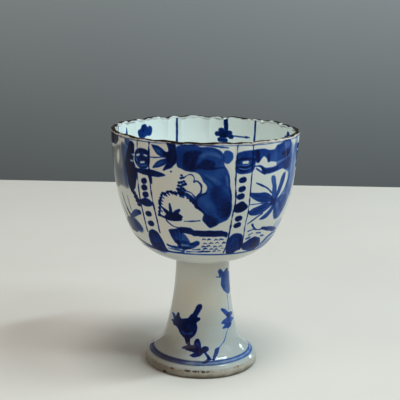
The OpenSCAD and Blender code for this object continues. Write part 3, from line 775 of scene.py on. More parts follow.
def paint_inside(wall):
    """Lines behind the dividers and small sprigs between them."""
    for panel in range(PANELS):
        wall.turn = FIRST_DIVIDER + panel * PANEL_ANGLE + LINE_SWAY[panel]
        wall.stroke((0, 0.8, 0.7), (0, 8, 0.9), (0.3, 20, 1.0), strength=0.93)
        wall.turn = FIRST_DIVIDER + (panel + 0.5) * PANEL_ANGLE
        if panel % 2:
            wall.wash((-12.5, 6), (-10.5, 4.6), (-8.5, 5.2), (-6.5, 3.4), (-3.5, 3.8), (-2, 5.6), (0.5, 6.4),
                      (0.5, 8.6), (-1.5, 10.4), (-5, 10.6), (-8, 9.6), (-11.5, 9.4), strength=0.82)
            wall.dab(-4.5, 6.8, 1.2, 0.9, strength=0.6)
        else:
            wall.stroke((-6.6, 0.8, 1.6), (-6.8, 4, 2.0), (-7.2, 8, 1.8), strength=0.92)
            wall.dab(-5.4, 9.8, 5.0, 3.4, strength=0.9)
            for angle, depth in [(-1.2, 9.6), (-3.6, 7.6), (-4.4, 10.6), (-3, 12.8), (-6.8, 10.4), (-6.4, 13),
                                 (-9.6, 8.8), (-10.6, 10.8)]:
                wall.dab(angle, depth, 3.0, 2.2, strength=0.9)
            wall.stroke((-12, 10.4), (-20, 10.5), (-25, 10.4), width=0.5, strength=0.7)
            wall.dab(-22.5, 10.5, 1.8, 0.9, strength=0.7)
    wall.turn = 0.0
    wall.stroke((245.8, 4.0, 0.5), (246, 8.2, 2.4), strength=0.85)


# Motifs of the stem

def stem_bud_low(wall):
    """Lotus bud that opens to the left, on a short stalk with leaves."""
    wall.wash((-54, 29.8), (-50, 27.2), (-46, 26.9), (-43.5, 28.5), (-38, 29.2), (-30, 28.8), (-25, 28.3),
              (-22, 27.2), (-19, 26.1), (-15, 25.1), (-12, 22.9), (-9, 21.5), (-5, 20.9), (-1, 21.1), (-0.4, 22.4),
              (-3.5, 24.2), (-6.5, 25.7), (-8, 27), (-5, 27.4), (-2.6, 28), (-6, 29.4), (-9, 30.3), (-7.6, 32.5),
              (-9, 35), (-13, 36.8), (-18, 37.8), (-25, 37.9), (-31, 37.6), (-38, 36), (-44, 34.2), (-52, 33.5),
              (-58, 32.4), strength=0.985)
    wall.strokes([(-68, 28.4, 0.8), (-60, 29, 1.8), (-52, 31, 2.4)], [(-65, 31.6, 0.6), (-54, 32.2, 2.0)],
                 strength=0.75)
    wall.lift((-34, 35.4), (-25, 36.4), (-16, 35.4), width=0.9, strength=0.3, soft=0.6)
    wall.stroke((-23, 37.8, 2.8), (-20.8, 40.2, 2.0), (-17.5, 41.4, 1.0), strength=0.98)
    wall.stroke((-27.5, 43.2, 0.7), (-18, 42.8, 2.6), (-8, 43.1, 3.2), (0, 44, 2.0), strength=0.985)
    wall.wash((-10.3, 42), (-9.8, 39.2), (-7, 38.1), (-4, 38.4), (-1.2, 40.2), (0, 43), (-4, 44.3), strength=0.97)
    wall.lift((-5.8, 40.4), (-4, 41.2), width=0.8, strength=0.3, soft=0.5)
    wall.strokes([(0, 44, 1.4), (4, 43.2, 2.8), (8, 42.9, 2.2), (9.6, 43.4, 0.8)],
                 [(-13.8, 46.4, 0.7), (-8, 46.2, 2.2), (-2, 45.4, 1.8), (0, 44.6, 0.8)], strength=0.98)
    wall.stroke((5.5, 44.8, 0.8), (9, 46.8, 1.3), (11, 48.3, 1.2), strength=0.95)
    wall.stroke((10.4, 47.6, 1.2), (7, 49.3, 1.5), (2, 50.1, 0.6), strength=0.9)
    wall.stroke((11, 48.2), (15.5, 48.6), width=0.6, strength=0.7)
    wall.stroke((15, 48.7, 0.8), (19, 46, 1.9), (23, 43.8, 2.0), (27, 42.6, 0.6), strength=0.76)
    wall.stroke((27, 42.5), (33, 41.2), (39, 39.5), (44, 37), (50, 34.6), width=0.6, strength=0.4)


def stem_bud_high(wall):
    """Bud near the top of the stem, with a cluster of leaves under it."""
    wall.wash((34.5, 4.6), (39, 3.8), (44, 4.3), (48, 5.2), (52, 5.6), (55, 5), (60, 4.4), (66, 4.6), (70, 6.5),
              (80, 7), (84, 10), (80, 16), (72, 17.6), (65, 17.5), (57, 16.6), (50, 15.2), (45, 13.2), (42, 11),
              (44, 9), (41, 7.3), (37, 6.3), strength=0.58, edge=0.2)
    wall.stroke((35.5, 4.6, 0.9), (41, 5.8, 1.6), (48, 7, 1.4), strength=0.2, soft=0.5)
    wall.stroke((55, 5.4), (66, 5.2), width=1.2, strength=0.2, soft=0.5)
    wall.stroke((44, 12.2, 1.4), (52, 13.2, 1.6), (58, 13, 1.0), strength=0.25, soft=0.6)
    wall.stroke((30, 7.3, 0.3), (38, 7.5, 0.9), strength=0.6)
    wall.stroke((60, 17.5), (61.5, 21), (61, 26), width=0.6, strength=0.4)
    wall.stroke((39, 24, 0.8), (46, 25.3, 2.2), (52, 26.8, 2.6), (57, 28.2, 2.6), strength=0.66)
    wall.strokes([(55, 28.2, 2.4), (64, 28.1, 2.4), (74, 28.4, 0.9)],
                 [(57, 30.2, 2.2), (66, 31, 2.2), (75, 31.2, 0.9)], strength=0.62)
    wall.stroke((38.5, 31, 1.0), (45, 30.8, 2.6), (52, 30.4, 2.8), strength=0.68)
    wall.stroke((39.5, 33.6, 1.0), (47, 33, 2.4), (53, 33, 2.8), (60, 32.6, 2.0), strength=0.72)


def paint_stem(wall):
    """Two sprays on the stem, front and back, and the pair of lines above the foot, with painted shade over the lines
    on the left.
    """
    for turn in (0.0, 180.0):
        wall.turn = turn
        stem_bud_low(wall)
        stem_bud_high(wall)
    wall.turn = 0.0
    wall.ring(49.5, 0.45, 0.66)
    wall.ring(51.5, 0.45, 0.5)
    wall.ring(50.6, 2.0, 0.28)
    # Painted shade: a broad darker stroke over the lines on the left
    wall.stroke((-96, 50), (-70, 50), (-40, 50.2), (-14, 50, 0.6), width=1.2, strength=0.5, soft=0.8)


# Materials

def linear(red, green, blue):
    """A colour given in 8-bit display values, as the linear values of a shader socket."""
    share = [v / 255 for v in (red, green, blue)]
    return tuple(v / 12.92 if v <= 0.04045 else ((v + 0.055) / 1.055)**2.4 for v in share) + (1.0,)


class Surface:
    """A procedural material, built socket by socket. Values are output sockets of its nodes."""

    NOISE_LOW, NOISE_HIGH = 0.3, 0.7

    def __init__(self, name):
        self.material = bpy.data.materials.new(name)
        self.material.use_nodes = True
        self.tree = self.material.node_tree
        self.shader = self.tree.nodes["Principled BSDF"]
        self.place = self.tree.nodes.new("ShaderNodeTexCoord").outputs["Object"]

    def link(self, source, target):
        self.tree.links.new(source, target)

    def noise(self, scale, detail=3.0, roughness=0.5):
        node = self.tree.nodes.new("ShaderNodeTexNoise")
        node.inputs["Scale"].default_value = scale
        node.inputs["Detail"].default_value = detail
        node.inputs["Roughness"].default_value = roughness
        self.link(self.place, node.inputs["Vector"])
        return node.outputs["Fac"]

    def height(self):
        """Height over the origin of the object."""
        node = self.tree.nodes.new("ShaderNodeSeparateXYZ")
        self.link(self.place, node.inputs["Vector"])
        return node.outputs["Z"]

    def attribute(self, name):
        """What the piece is marked with, or nothing if it isn't."""
        node = self.tree.nodes.new("ShaderNodeAttribute")
        node.attribute_name = name
        return node.outputs["Fac"]

    def math(self, operation, a, b):
        """Arithmetic with two values, each a socket or a number."""
        node = self.tree.nodes.new("ShaderNodeMath")
        node.operation = operation
        for socket, value in zip(node.inputs, (a, b)):
            if isinstance(value, (int, float)):
                socket.default_value = value
            else:
                self.link(value, socket)
        return node.outputs[0]

    def spread(self, value, low, high, to_low=0.0, to_high=1.0):
        """A value taken from one range to another, held at its ends."""
        node = self.tree.nodes.new("ShaderNodeMapRange")
        for name, number in (("From Min", low), ("From Max", high), ("To Min", to_low), ("To Max", to_high)):
            node.inputs[name].default_value = number
        self.link(value, node.inputs["Value"])
        return node.outputs["Result"]

    def uneven(self, noise, low, high):
        """A noise as values that lie between two others."""
        return self.spread(noise, self.NOISE_LOW, self.NOISE_HIGH, low, high)

    def ramp(self, value, stops):
        """A colour by a value, from stops of (position, colour)."""
        node = self.tree.nodes.new("ShaderNodeValToRGB")
        ends = node.color_ramp.elements
        for position, _ in stops[1:-1]:
            ends.new(position)
        for element, (position, colour) in zip(ends, stops):
            element.position = position
            element.color = colour
        self.link(value, node.inputs["Fac"])
        return node.outputs["Color"]

    def mix(self, share, a, b):
        """A blend of two colours, each a socket or a tuple."""
        node = self.tree.nodes.new("ShaderNodeMix")
        node.data_type = "RGBA"
        self.link(share, node.inputs["Factor"])
        for socket, value in ((node.inputs[6], a), (node.inputs[7], b)):
            if isinstance(value, tuple):
                socket.default_value = value
            else:
                self.link(value, socket)
        return node.outputs[2]

    def bump(self, height, distance, strength=1.0):
        node = self.tree.nodes.new("ShaderNodeBump")
        node.inputs["Strength"].default_value = strength
        node.inputs["Distance"].default_value = distance
        self.link(height, node.inputs["Height"])
        self.link(node.outputs["Normal"], self.shader.inputs["Normal"])

    def colour(self, value):
        self.link(value, self.shader.inputs["Base Color"])

    def roughness(self, value):
        self.link(value, self.shader.inputs["Roughness"])

    def glaze(self, sheen):
        """Sets the strength of the reflections."""
        self.shader.inputs["IOR"].default_value = GLAZE_IOR
        self.shader.inputs["Specular IOR Level"].default_value = sheen


GLAZE_IOR = 1.5
GLAZE_SHEEN = 0.07
STEM_SHEEN = 0.18
# Share of dullness and of bareness that goes into the roughness
DULL_ROUGHNESS, BARE_ROUGHNESS = 0.4, 0.22
BARE_GRAIN = 0.4
# Heights of ripples in the glaze and of brush marks in the dressing, in metres
GLAZE_RIPPLE, BRUSH_RIPPLE = 0.00007, 0.0001

# Darker glaze for painted shade
PAINTED_SHADE_GLAZE = linear(174, 178, 175)
# Lighter, cooler glaze of the lining: painted light
LIT_LINING_GLAZE = linear(225, 234, 232)
# Dark grey that greys the cobalt, partly painted shade
GREY_AND_SHADE_COBALT = linear(50, 47, 42)
# Rust where iron bleeds into the glaze, also painted as warm shade on the stem's left
RUST_AND_SHADE = linear(74, 50, 34)
RUSTY_CLAY = linear(150, 94, 54)
# Soil on the bare foot, also painted shade near the table and on the left
SOILED_AND_SHADED_CLAY = linear(96, 88, 76)
PIT_BLACK = linear(26, 20, 17)
CLAY = [(0.3, linear(158, 150, 136)), (0.5, linear(174, 167, 154)), (0.7, linear(184, 178, 166))]
# Cobalt under glaze, from the thinnest wash to the fullest stroke
COBALT = [(0.0, linear(200, 208, 212)), (0.2, linear(142, 163, 194)), (0.4, linear(78, 108, 162)),
          (0.6, linear(33, 73, 143)), (0.78, linear(11, 49, 119)), (0.9, linear(4, 30, 88)), (1.0, linear(2, 14, 57))]
IRON = [(0.3, linear(16, 10, 8)), (0.55, linear(32, 21, 16)), (0.75, linear(66, 46, 33))]


def porcelain(name, cream, blue, sheen):
    """Clear glaze over a greyish-white body, with cobalt, iron, bare clay, painted shade and painted light where the
    piece is marked for them.
    """
    surface = Surface(name)
    body = surface.mix(surface.spread(surface.noise(38.0, 2.0), 0.35, 0.65), cream, blue)
    # Painted shade: darker glaze where the piece is marked for shade
    body = surface.mix(surface.attribute("painted_shade"), body, PAINTED_SHADE_GLAZE)
    # Painted light: the lining is lighter and cooler
    body = surface.mix(surface.attribute("inside"), body, LIT_LINING_GLAZE)
    grain = surface.noise(900.0, 4.0)
    fine = surface.uneven(grain, 0.95, 1.04)
    clouds = surface.uneven(surface.noise(260.0, 3.0), 0.96, 1.04)
    depth = surface.math("MULTIPLY", surface.math("MULTIPLY", surface.attribute("cobalt"), fine), clouds)
    painted = surface.mix(surface.spread(depth, 0.02, 0.3), body, surface.ramp(depth, COBALT))
    # Greyer cobalt, and painted shade that darkens it
    painted = surface.mix(surface.attribute("grey"), painted, GREY_AND_SHADE_COBALT)
    rust_and_shade = surface.attribute("iron")
    # Iron rust, and warm painted shade on the stem's left
    painted = surface.mix(rust_and_shade, painted, RUST_AND_SHADE)
    clay = surface.ramp(surface.noise(700.0, 5.0, 0.65), CLAY)
    # Soil, and painted shade near the table and on the left
    clay = surface.mix(surface.attribute("soil_and_shade"), clay, SOILED_AND_SHADED_CLAY)
    clay = surface.mix(surface.spread(rust_and_shade, 0.05, 0.6, 0.0, 0.9), clay, RUSTY_CLAY)
    clay = surface.mix(surface.attribute("pit"), clay, PIT_BLACK)
    bare = surface.attribute("bare")
    surface.colour(surface.mix(bare, painted, clay))
    rough = surface.uneven(surface.noise(120.0, 2.0), 0.06, 0.12)
    rough = surface.math("ADD", rough, surface.math("MULTIPLY", surface.attribute("dull"), DULL_ROUGHNESS))
    surface.roughness(surface.math("ADD", rough, surface.math("MULTIPLY", bare, BARE_ROUGHNESS)))
    surface.glaze(sheen)
    bare_grain = surface.math("MULTIPLY", surface.math("MULTIPLY", grain, bare), BARE_GRAIN)
    surface.bump(surface.math("ADD", surface.noise(150.0, 2.0), bare_grain), GLAZE_RIPPLE)
    return surface.material


def iron_brown():
    """Brushed iron dressing, worn through to the white body where the lip is chipped."""
    surface = Surface("iron_brown")
    brush = surface.ramp(surface.noise(500.0, 4.0), IRON)
    # Painted light: the inner half of the lip is lighter and cooler
    body = surface.mix(surface.attribute("inside"), linear(214, 208, 198), linear(222, 232, 232))
    surface.colour(surface.mix(surface.attribute("worn"), brush, body))
    surface.roughness(surface.uneven(surface.noise(700.0, 3.0), 0.4, 0.6))
    surface.glaze(GLAZE_SHEEN)
    surface.bump(surface.noise(900.0, 3.0), BRUSH_RIPPLE)
    return surface.material


def plain_surface(name, low, high, scale, roughness):
    """A matt surface with a slight unevenness of tone."""
    surface = Surface(name)
    surface.colour(surface.ramp(surface.noise(scale, 4.0), [(0.3, low), (0.7, high)]))
    surface.shader.inputs["Roughness"].default_value = roughness
    surface.bump(surface.noise(scale * 6, 4.0), 0.0002, 0.4)
    return surface.material


def backdrop_surface():
    """Matt grey, with painted shade that makes it darker towards the table."""
    surface = Surface("grey_backdrop")
    uneven = surface.uneven(surface.noise(3.0, 4.0), -0.01, 0.01)
    level = surface.math("ADD", surface.height(), uneven)
    surface.colour(surface.ramp(surface.spread(level, -0.1, 0.18), [
        (0.0, linear(112, 116, 119)), (0.5, linear(134, 138, 141)), (1.0, linear(150, 154, 157))]))
    surface.shader.inputs["Roughness"].default_value = 0.95
    return surface.material


# Pieces

# Depths that the painted rows reach, and how the lobes cut into the wall
PAINTED_DEPTH = 62.0
INSIDE_PAINTED_DEPTH = 22.0
LOBE_BLEND = 0.35
LOBE_BITE = 0.12
# Rings that close the bowl's base, as shares of its radius
BASE_RINGS = np.array([0.66, 0.33])
# Glaze: how far it lies inside the solid, its unevenness, and the cells that it runs over
BOWL_SINK, STEM_SINK, GLAZE_UNEVEN, UNEVEN_CELLS = 0.04, 0.03, 0.03, 60
# Iron that bleeds from the dressing into the glaze: reach, raggedness, cells and share
BLEED, BLEED_RAGGED, BLEED_CELLS, BLEED_SHARE = 0.5, 0.25, 6, 0.6


def dress(piece, node, material):
    """Gives a piece its material, hangs it on the root body, and hides the node that it stands for."""
    piece.data.materials.append(material)
    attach(piece, "root")
    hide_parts(node)


def banded(*bands):
    """Rows of a piece from its bands, each a count of rows and the value, column or grid that fills them."""
    return np.concatenate([np.broadcast_to(values, (count, COLUMNS)) for count, values in bands])


def iron_bleed(depth, seed):
    """Share of iron below an uneven top edge."""
    ragged = BLEED_RAGGED * smooth_noise(seed, depth.shape, BLEED_CELLS)
    return BLEED_SHARE * smooth_step(BLEED, 0.0, depth - depth[:1] + ragged)


def lip_rows(section, inset, top, end, pitch):
    """Depth, radius and height of a wall from an uneven top edge down to an even depth."""
    fall = along(section)[1] / (section[0, 1] - section[1, 1])
    start = (RIM_Z - top) * fall
    share = steps(0, 1, pitch / end)[:, None]
    depth = start + (end - start) * share
    radius, height = walk(section, depth)
    radius = soft_least(radius + LOBE_BITE, lobed_radius(inset), LOBE_BLEND)
    return depth, radius, height


def build_bowl(outside, inside, edge):
    """Bowl from the middle of its floor over the lip to the middle of its base."""
    top = edge - DRESSING_H
    out_depth, out_radius, out_height = lip_rows(outside, 0.0, top, PAINTED_DEPTH, GRAIN)
    in_depth, in_radius, in_height = lip_rows(inside, BOWL_WALL, top, INSIDE_PAINTED_DEPTH, LINING_GRAIN)
    wall = Wall(out_depth, out_radius, seed=3)
    paint_bowl(wall)
    lining = Wall(in_depth, in_radius, seed=5)
    paint_inside(lining)
    low_depth = steps(PAINTED_DEPTH, along(outside)[-1], COARSE)[1:, None]
    low_r, low_z = walk(outside, low_depth)
    floor_depth = steps(INSIDE_PAINTED_DEPTH, along(inside)[-1] - COARSE, COARSE)[:0:-1, None]
    floor_r, floor_z = walk(inside, floor_depth)
    base_r = BASE_RINGS[:, None] * BASE_R
    out_radius = out_radius - BOWL_SINK - GLAZE_UNEVEN * smooth_noise(21, out_radius.shape, UNEVEN_CELLS)

    def rows(floor=0, lining=0, wall=0, low=0, base=0):
        return banded((len(floor_r), floor), (len(in_depth), lining), (len(out_depth), wall), (len(low_r), low),
                      (len(base_r), base))

    piece = closed_mesh("painted_bowl", rows(floor_r, in_radius[::-1], out_radius, low_r, base_r),
                        rows(floor_z, in_height[::-1], out_height, low_z, JOINT_Z), loop=False)
    # Painted shade: the cobalt is greyed and darkened on the far left, and the glaze is darkened above the heel on the
    # left
    grey_and_shade = 0.72 * beside(-75, 24, 4) * smooth_step(0.03, 0.14, wall.cobalt)
    painted_shade = rows(wall=smooth_step(56, 63, out_depth), low=smooth_step(56, 63, low_depth)) * beside(-58, 30)
    mark(piece, "cobalt", rows(lining=lining.cobalt[::-1], wall=wall.cobalt))
    mark(piece, "iron", rows(lining=iron_bleed(in_depth, 33)[::-1], wall=iron_bleed(out_depth, 31)))
    mark(piece, "grey", rows(wall=grey_and_shade))
    mark(piece, "painted_shade", painted_shade)
    # Painted light on the lining and floor
    mark(piece, "inside", rows(floor=1, lining=1))
    glaze = porcelain("bowl_porcelain", linear(211, 209, 200), linear(206, 212, 208), GLAZE_SHEEN)
    dress(piece, "bowl", glaze)
    return out_radius[0], in_radius[0]


# Section of the dressing from the inside over the crown to the outside, as shares of the lip's width and its height
DRESSING_ACROSS = np.array([0, 0, 0.03, 0.1, 0.25, 0.5, 0.75, 0.9, 0.97, 1, 1])[:, None]
DRESSING_UP = np.array([0, 0.4, 0.68, 0.88, 0.98, 1, 0.98, 0.88, 0.68, 0.4, 0])[:, None]
CHIP_DEPTH = 0.15


def build_dressing(out_r, in_r, edge):
    """Rounded band on the lip. The brown lies on its crown, with an uneven edge, and is chipped off in places."""
    chipped = smooth_step(1.9, 2.4, smooth_noise(41, (1, COLUMNS), 7)[0]) * smooth_step(20, 60, np.abs(ANGLE + 10))
    for middle, width, _ in RIM_CHIPS:
        chipped = np.maximum(chipped, beside(middle, 0.45 * width, 4))
    low = edge - DRESSING_H
    radius = in_r + (out_r - in_r) * DRESSING_ACROSS
    height = low + (edge - CHIP_DEPTH * chipped - low) * DRESSING_UP
    ragged = smooth_noise(43, radius.shape, 5)
    # The brown reaches further down the outside near the front, and less far on its right
    fuller = smooth_step(0.4, 0.7, DRESSING_ACROSS) * (0.6 * beside(-11, 21, 4) - 0.12 * beside(48, 26, 4))
    bare = smooth_step(0.7, 0.42, DRESSING_UP + 0.16 * ragged + fuller)
    worn = np.maximum(bare, chipped * smooth_step(-1.0, 0.4, ragged + 0.6))
    piece = closed_mesh("worn_rim_dressing", radius, height, loop=True)
    mark(piece, "worn", worn)
    # Painted light on the inner half of the lip
    mark(piece, "inside", banded((len(radius), smooth_step(0.5, 0.2, DRESSING_ACROSS))))
    dress(piece, "rim_dressing", iron_brown())


def build_slip():
    """Slip between stem and bowl, with its rounded bead."""
    bore_r = STEM_R - STEM_WALL / cos(NECK_LEAN)
    middle, half = (STEM_Z + JOINT_Z) / 2, (JOINT_Z - STEM_Z) / 2
    bead = arc((STEM_R, middle), half, 90, -90, 9)
    section = np.concatenate([bead, [[bore_r, STEM_Z], [bore_r, JOINT_Z]]])
    radius, height = (banded((len(section), column)) for column in np.split(section, 2, axis=1))
    piece = closed_mesh("luted_joint", radius, height, loop=True)
    dress(piece, "luting_slip",
          plain_surface("luting_slip", linear(180, 178, 166), linear(200, 198, 186), 400.0, 0.25))


# Marks on the bare foot, listed: angle, depth, size in millimetres and share of iron
FOOT_MARKS = [(-15.5, 54.8, 0.55, 1.0), (-13.8, 54.9, 0.6, 1.0), (-11.8, 54.9, 0.55, 1.0), (-7.6, 55, 0.4, 1.0),
              (-5.4, 55, 0.5, 1.0), (-2.6, 55, 0.4, 1.0), (1.8, 55.1, 0.6, 1.0), (3.6, 55.1, 0.4, 1.0),
              (6.6, 55.1, 0.4, 1.0), (8.4, 55, 0.35, 1.0), (-69, 53.8, 0.6, 1.0), (-65, 54, 0.8, 1.0),
              (-58, 54.2, 0.8, 0.6), (-53, 54.3, 0.7, 1.0), (-48, 54.4, 0.9, 0.65), (-44, 54.5, 0.6, 0.6),
              (-38, 54.6, 0.8, 0.6), (-31, 54.8, 0.7, 0.95), (-29, 54.8, 0.9, 0.6), (12, 54.9, 0.5, 0.5),
              (37, 54.6, 0.7, 0.5), (41, 54.5, 0.8, 0.6), (47, 54.3, 0.6, 0.55), (62, 54, 0.7, 1.0),
              (66, 53.9, 0.6, 0.6), (-39, 57.6, 1.0, 1.0), (100, 54, 1.1, 0.8), (133, 54.5, 0.8, 1.0),
              (151, 53.9, 1.0, 0.55), (-160, 54.4, 1.0, 1.0), (-128, 54.1, 1.1, 0.55), (-97, 54.6, 0.8, 1.0)]
# Marks with more iron than this are pits, this deep
PIT, PIT_DEPTH = 0.7, 0.25
# The bare foot starts at this depth, lies this much lower than the glaze, and is darker near the table, soil with
# painted contact shade
GLAZE_EDGE, EDGE_BLUR = 54.4, 0.3
BARE_SINK, BARE_UNEVEN, BARE_RAGGED = 0.06, 0.02, 0.2
SOIL_START, SOIL_FULL = 3.4, 0.6
# Bead that the glaze forms above its edge: thickness, and distance of its crown from the edge
GLAZE_BEAD, BEAD_REACH = 0.15, 0.6
# Hollow of the foot's upper face: depth of the cut, its middle and its half width down the wall
FACE_HOLLOW, FACE_DEPTH, FACE_REACH = 0.3, 49.0, 6.0


def build_stem(outside, inside):
    """Stem from its top down the outside, under the foot and up the inside."""
    length = along(outside)[-1]
    down = steps(0, length, GRAIN)[:, None]
    depth, radius, height = (banded((len(down), column)) for column in (down, *walk(outside, down)))
    wall = Wall(depth, radius, seed=7)
    paint_stem(wall)
    foot = Wall(depth, radius, seed=9)
    pits = Wall(depth, radius, seed=9)
    for angle, level, size, share in FOOT_MARKS:
        (pits if share > PIT else foot).dab(angle, level, wide=1.5 * size, tall=size, strength=share)
    wear = smooth_noise(51, depth.shape, 10)
    bare = smooth_step(GLAZE_EDGE - EDGE_BLUR, GLAZE_EDGE + EDGE_BLUR, depth + BARE_RAGGED * wear)
    hollow = FACE_HOLLOW * cos(np.clip((depth - FACE_DEPTH) / FACE_REACH, -1, 1) * 90)**2
    radius = radius - STEM_SINK - GLAZE_UNEVEN * smooth_noise(53, depth.shape, UNEVEN_CELLS)
    radius += GLAZE_BEAD * np.exp(-((depth - GLAZE_EDGE + BEAD_REACH) / (0.7 * BEAD_REACH))**2)
    radius -= bare * (BARE_SINK + BARE_UNEVEN * wear) + PIT_DEPTH * pits.cobalt + hollow * cos(FOOT_LEAN)
    height = height - hollow * sin(FOOT_LEAN)
    under_r = np.linspace(outside[-1, 0], inside[0, 0], 6)[1:-1, None]
    in_r, in_z = walk(inside, steps(0, along(inside)[-1], COARSE)[:, None])

    def rows(wall, under=0, inside=0):
        return banded((len(depth), wall), (len(under_r), under), (len(in_r), inside))

    piece = closed_mesh("painted_stem", rows(radius, under_r, in_r), rows(height, 0, in_z), loop=True)
    # Painted shade: the left is browned and darkened, and the ringed band is darker there over a cobalt that is greyer;
    # a patch at the front is dull
    left = beside(-48, 42)
    # Soil and painted contact shade on the foot near the table
    soil_and_shade = smooth_step(length - SOIL_START, length - SOIL_FULL, depth + BARE_RAGGED * wear)
    # Painted shade: warm brown darkening on the lower left of the stem
    warm_left_shade = 0.4 * left * smooth_step(30, 46, depth)
    # The ringed band is greyer, and darker on the left as painted shade
    grey_and_shade = 0.62 * smooth_step(1.9, 1.4, np.abs(depth - 50.6)) * smooth_step(120, 0, np.abs(turn_from(-45)))
    dull = smooth_step(30, 34, depth) * smooth_step(47, 45.5, depth) * smooth_step(22, 17, np.abs(turn_from(16)))
    mark(piece, "cobalt", rows(wall.cobalt * (1 - bare)))
    mark(piece, "iron", rows(foot.cobalt * bare + warm_left_shade * (1 - bare)))
    mark(piece, "grey", rows(grey_and_shade))
    # Also painted shade on the left of the foot
    mark(piece, "soil_and_shade", rows(np.maximum(soil_and_shade, 0.75 * left)))
    mark(piece, "pit", rows(pits.cobalt))
    # Painted shade: the lower stem and flare are darker, less so on the left
    mark(piece, "painted_shade", rows(smooth_step(18, 34, depth) * (1 - 0.5 * left)))
    mark(piece, "bare", rows(bare, 1, 1))
    mark(piece, "dull", rows(dull))
    # The stem's body is darker than the bowl's: painted shade under the bowl, over a slightly greyer glaze
    glaze = porcelain("stem_porcelain", linear(201, 197, 184), linear(196, 200, 196), STEM_SHEEN)
    dress(piece, "stem", glaze)


def build_cup():
    """All pieces of the cup."""
    outside, inside = bowl_section()
    edge = rim_edge()
    out_r, in_r = build_bowl(outside, inside, edge)
    build_dressing(out_r, in_r, edge)
    build_slip()
    build_stem(*stem_section())


# Stage, light and camera, in metres

CAMERA_PLACE = Vector((-0.00195, -0.4735, 0.1891))
CAMERA_PITCH, CAMERA_ROLL = 12.585, 1.085
CAMERA_LENS, SENSOR_WIDTH, CLIP_START = 87.64, 36.0, 0.01
FLOOR_FRONT, TABLE_END, FLOOR_HALF = -1.2, 0.446, 2
BACKDROP_Y, BACKDROP_HALF, BACKDROP_LOW, BACKDROP_HIGH = 0.9, 3, -1, 2
FOOT_MIDDLE = Vector((0.0, 0.0, 0.012))
LAMP_DISTANCE, NEAR_LAMP, OVERHEAD_LAMP = 1.8, 1.06, 1.35
DAYLIGHT = (0.78, 0.96, 1.0)
SHADE_LIGHT = (0.76, 0.95, 1.0)
WARM_LIGHT = (1.0, 0.88, 0.72)
ROOF_LIGHT = (1.0, 0.98, 0.95)
ROOM_COLOUR, ROOM_STRENGTH = (1.0, 0.96, 0.9, 1.0), 0.14


def plane(name, corners, material):
    """A flat piece of the stage."""
    mesh = bpy.data.meshes.new(name)
    mesh.from_pydata(corners, [], [(0, 1, 2, 3)])
    mesh.update()
    item = bpy.data.objects.new(name, mesh)
    item.data.materials.append(material)
    bpy.context.scene.collection.objects.link(item)


def build_stage():
    """Plain pale floor, and a grey backdrop behind its end."""
    floor = plain_surface("pale_floor", linear(211, 205, 198), linear(215, 209, 202), 9.0, 0.9)
    wall = backdrop_surface()
    corners = [(-1, 0), (1, 0), (1, 1), (-1, 1)]
    front_to_end = (FLOOR_FRONT, TABLE_END)
    low_to_high = (BACKDROP_LOW, BACKDROP_HIGH)
    plane("floor", [(side * FLOOR_HALF, front_to_end[end], 0) for side, end in corners], floor)
    plane("backdrop", [(side * BACKDROP_HALF, BACKDROP_Y, low_to_high[end]) for side, end in corners], wall)


def from_foot(azimuth, elevation, distance):
    """A place seen from the middle of the foot: azimuth from the front, positive to the right."""
    flat = distance * cos(elevation)
    return FOOT_MIDDLE + Vector((flat * sin(azimuth), -flat * cos(azimuth), distance * sin(elevation)))


def area_lamp(name, place, across, size, power, colour):
    """A lamp that faces the foot, with its width along a direction."""
    lamp = bpy.data.lights.new(name, "AREA")
    lamp.shape = "RECTANGLE"
    lamp.size, lamp.size_y = size
    lamp.energy = power
    lamp.color = colour
    away = (place - FOOT_MIDDLE).normalized()
    across = across.normalized()
    item = bpy.data.objects.new(name, lamp)
    item.matrix_world = Matrix.Translation(place) @ Matrix((across, away.cross(across), away)).transposed().to_4x4()
    bpy.context.scene.collection.objects.link(item)


def soft_lamp(name, azimuth, elevation, size, power, colour, distance=LAMP_DISTANCE):
    """A lamp whose width lies level."""
    place = from_foot(azimuth, elevation, distance)
    area_lamp(name, place, Vector((cos(azimuth), sin(azimuth), 0)), size, power, colour)


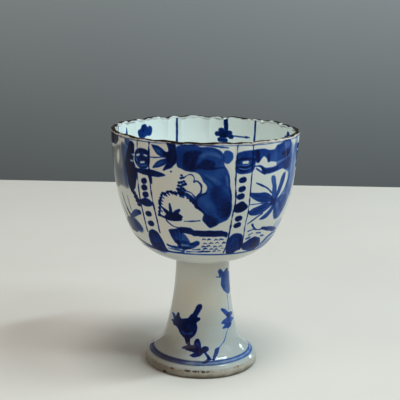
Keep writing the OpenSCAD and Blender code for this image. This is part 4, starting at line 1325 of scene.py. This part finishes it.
def streak_lamp(name, start, end, width, power, colour, distance=LAMP_DISTANCE):
    """A narrow lamp from one direction to another, which the glaze of the foot mirrors as a streak."""
    first, last = from_foot(*start, distance), from_foot(*end, distance)
    area_lamp(name, (first + last) / 2, last - first, ((last - first).length, width), power, colour)


def build_light():
    """Windows on the right that the glaze mirrors, and soft fills on both sides and overhead."""
    world = bpy.data.worlds.new("soft_room")
    world.use_nodes = True
    sky = world.node_tree.nodes["Background"]
    sky.inputs["Color"].default_value = ROOM_COLOUR
    sky.inputs["Strength"].default_value = ROOM_STRENGTH
    bpy.context.scene.world = world
    streak_lamp("window", (64.6, 65.3), (92.1, 53.5), 0.1, 10.0, DAYLIGHT)
    streak_lamp("front_window", (40.3, 55.3), (67.7, 35.4), 0.18, 6.5, DAYLIGHT)
    streak_lamp("pane_left", (79, 27), (80.5, 40), 0.07, 1.1, DAYLIGHT)
    streak_lamp("pane_right", (86.8, 24.5), (90.6, 39.3), 0.07, 1.1, DAYLIGHT)
    streak_lamp("far_window", (133, 13), (131.9, 20.5), 0.12, 0.8, DAYLIGHT, NEAR_LAMP)
    soft_lamp("side_fill", 80, 38, (1.4, 0.8), 5.0, SHADE_LIGHT)
    soft_lamp("left_fill", -50, 30, (1.8, 0.9), 6.4, WARM_LIGHT)
    soft_lamp("overhead", 25, 82, (0.36, 0.36), 6.6, ROOF_LIGHT, OVERHEAD_LAMP)


def build_camera():
    """Camera at the angle of the photograph."""
    lens = bpy.data.cameras.new("photo_camera")
    lens.lens = CAMERA_LENS
    lens.sensor_width = SENSOR_WIDTH
    lens.clip_start = CLIP_START
    camera = bpy.data.objects.new("photo_camera", lens)
    tilt = Matrix.Rotation(math.radians(90 - CAMERA_PITCH), 4, "X")
    roll = Matrix.Rotation(math.radians(CAMERA_ROLL), 4, "Z")
    camera.matrix_world = Matrix.Translation(CAMERA_PLACE) @ tilt @ roll
    bpy.context.scene.collection.objects.link(camera)
    bpy.context.scene.camera = camera


build_cup()
build_stage()
build_light()
build_camera()
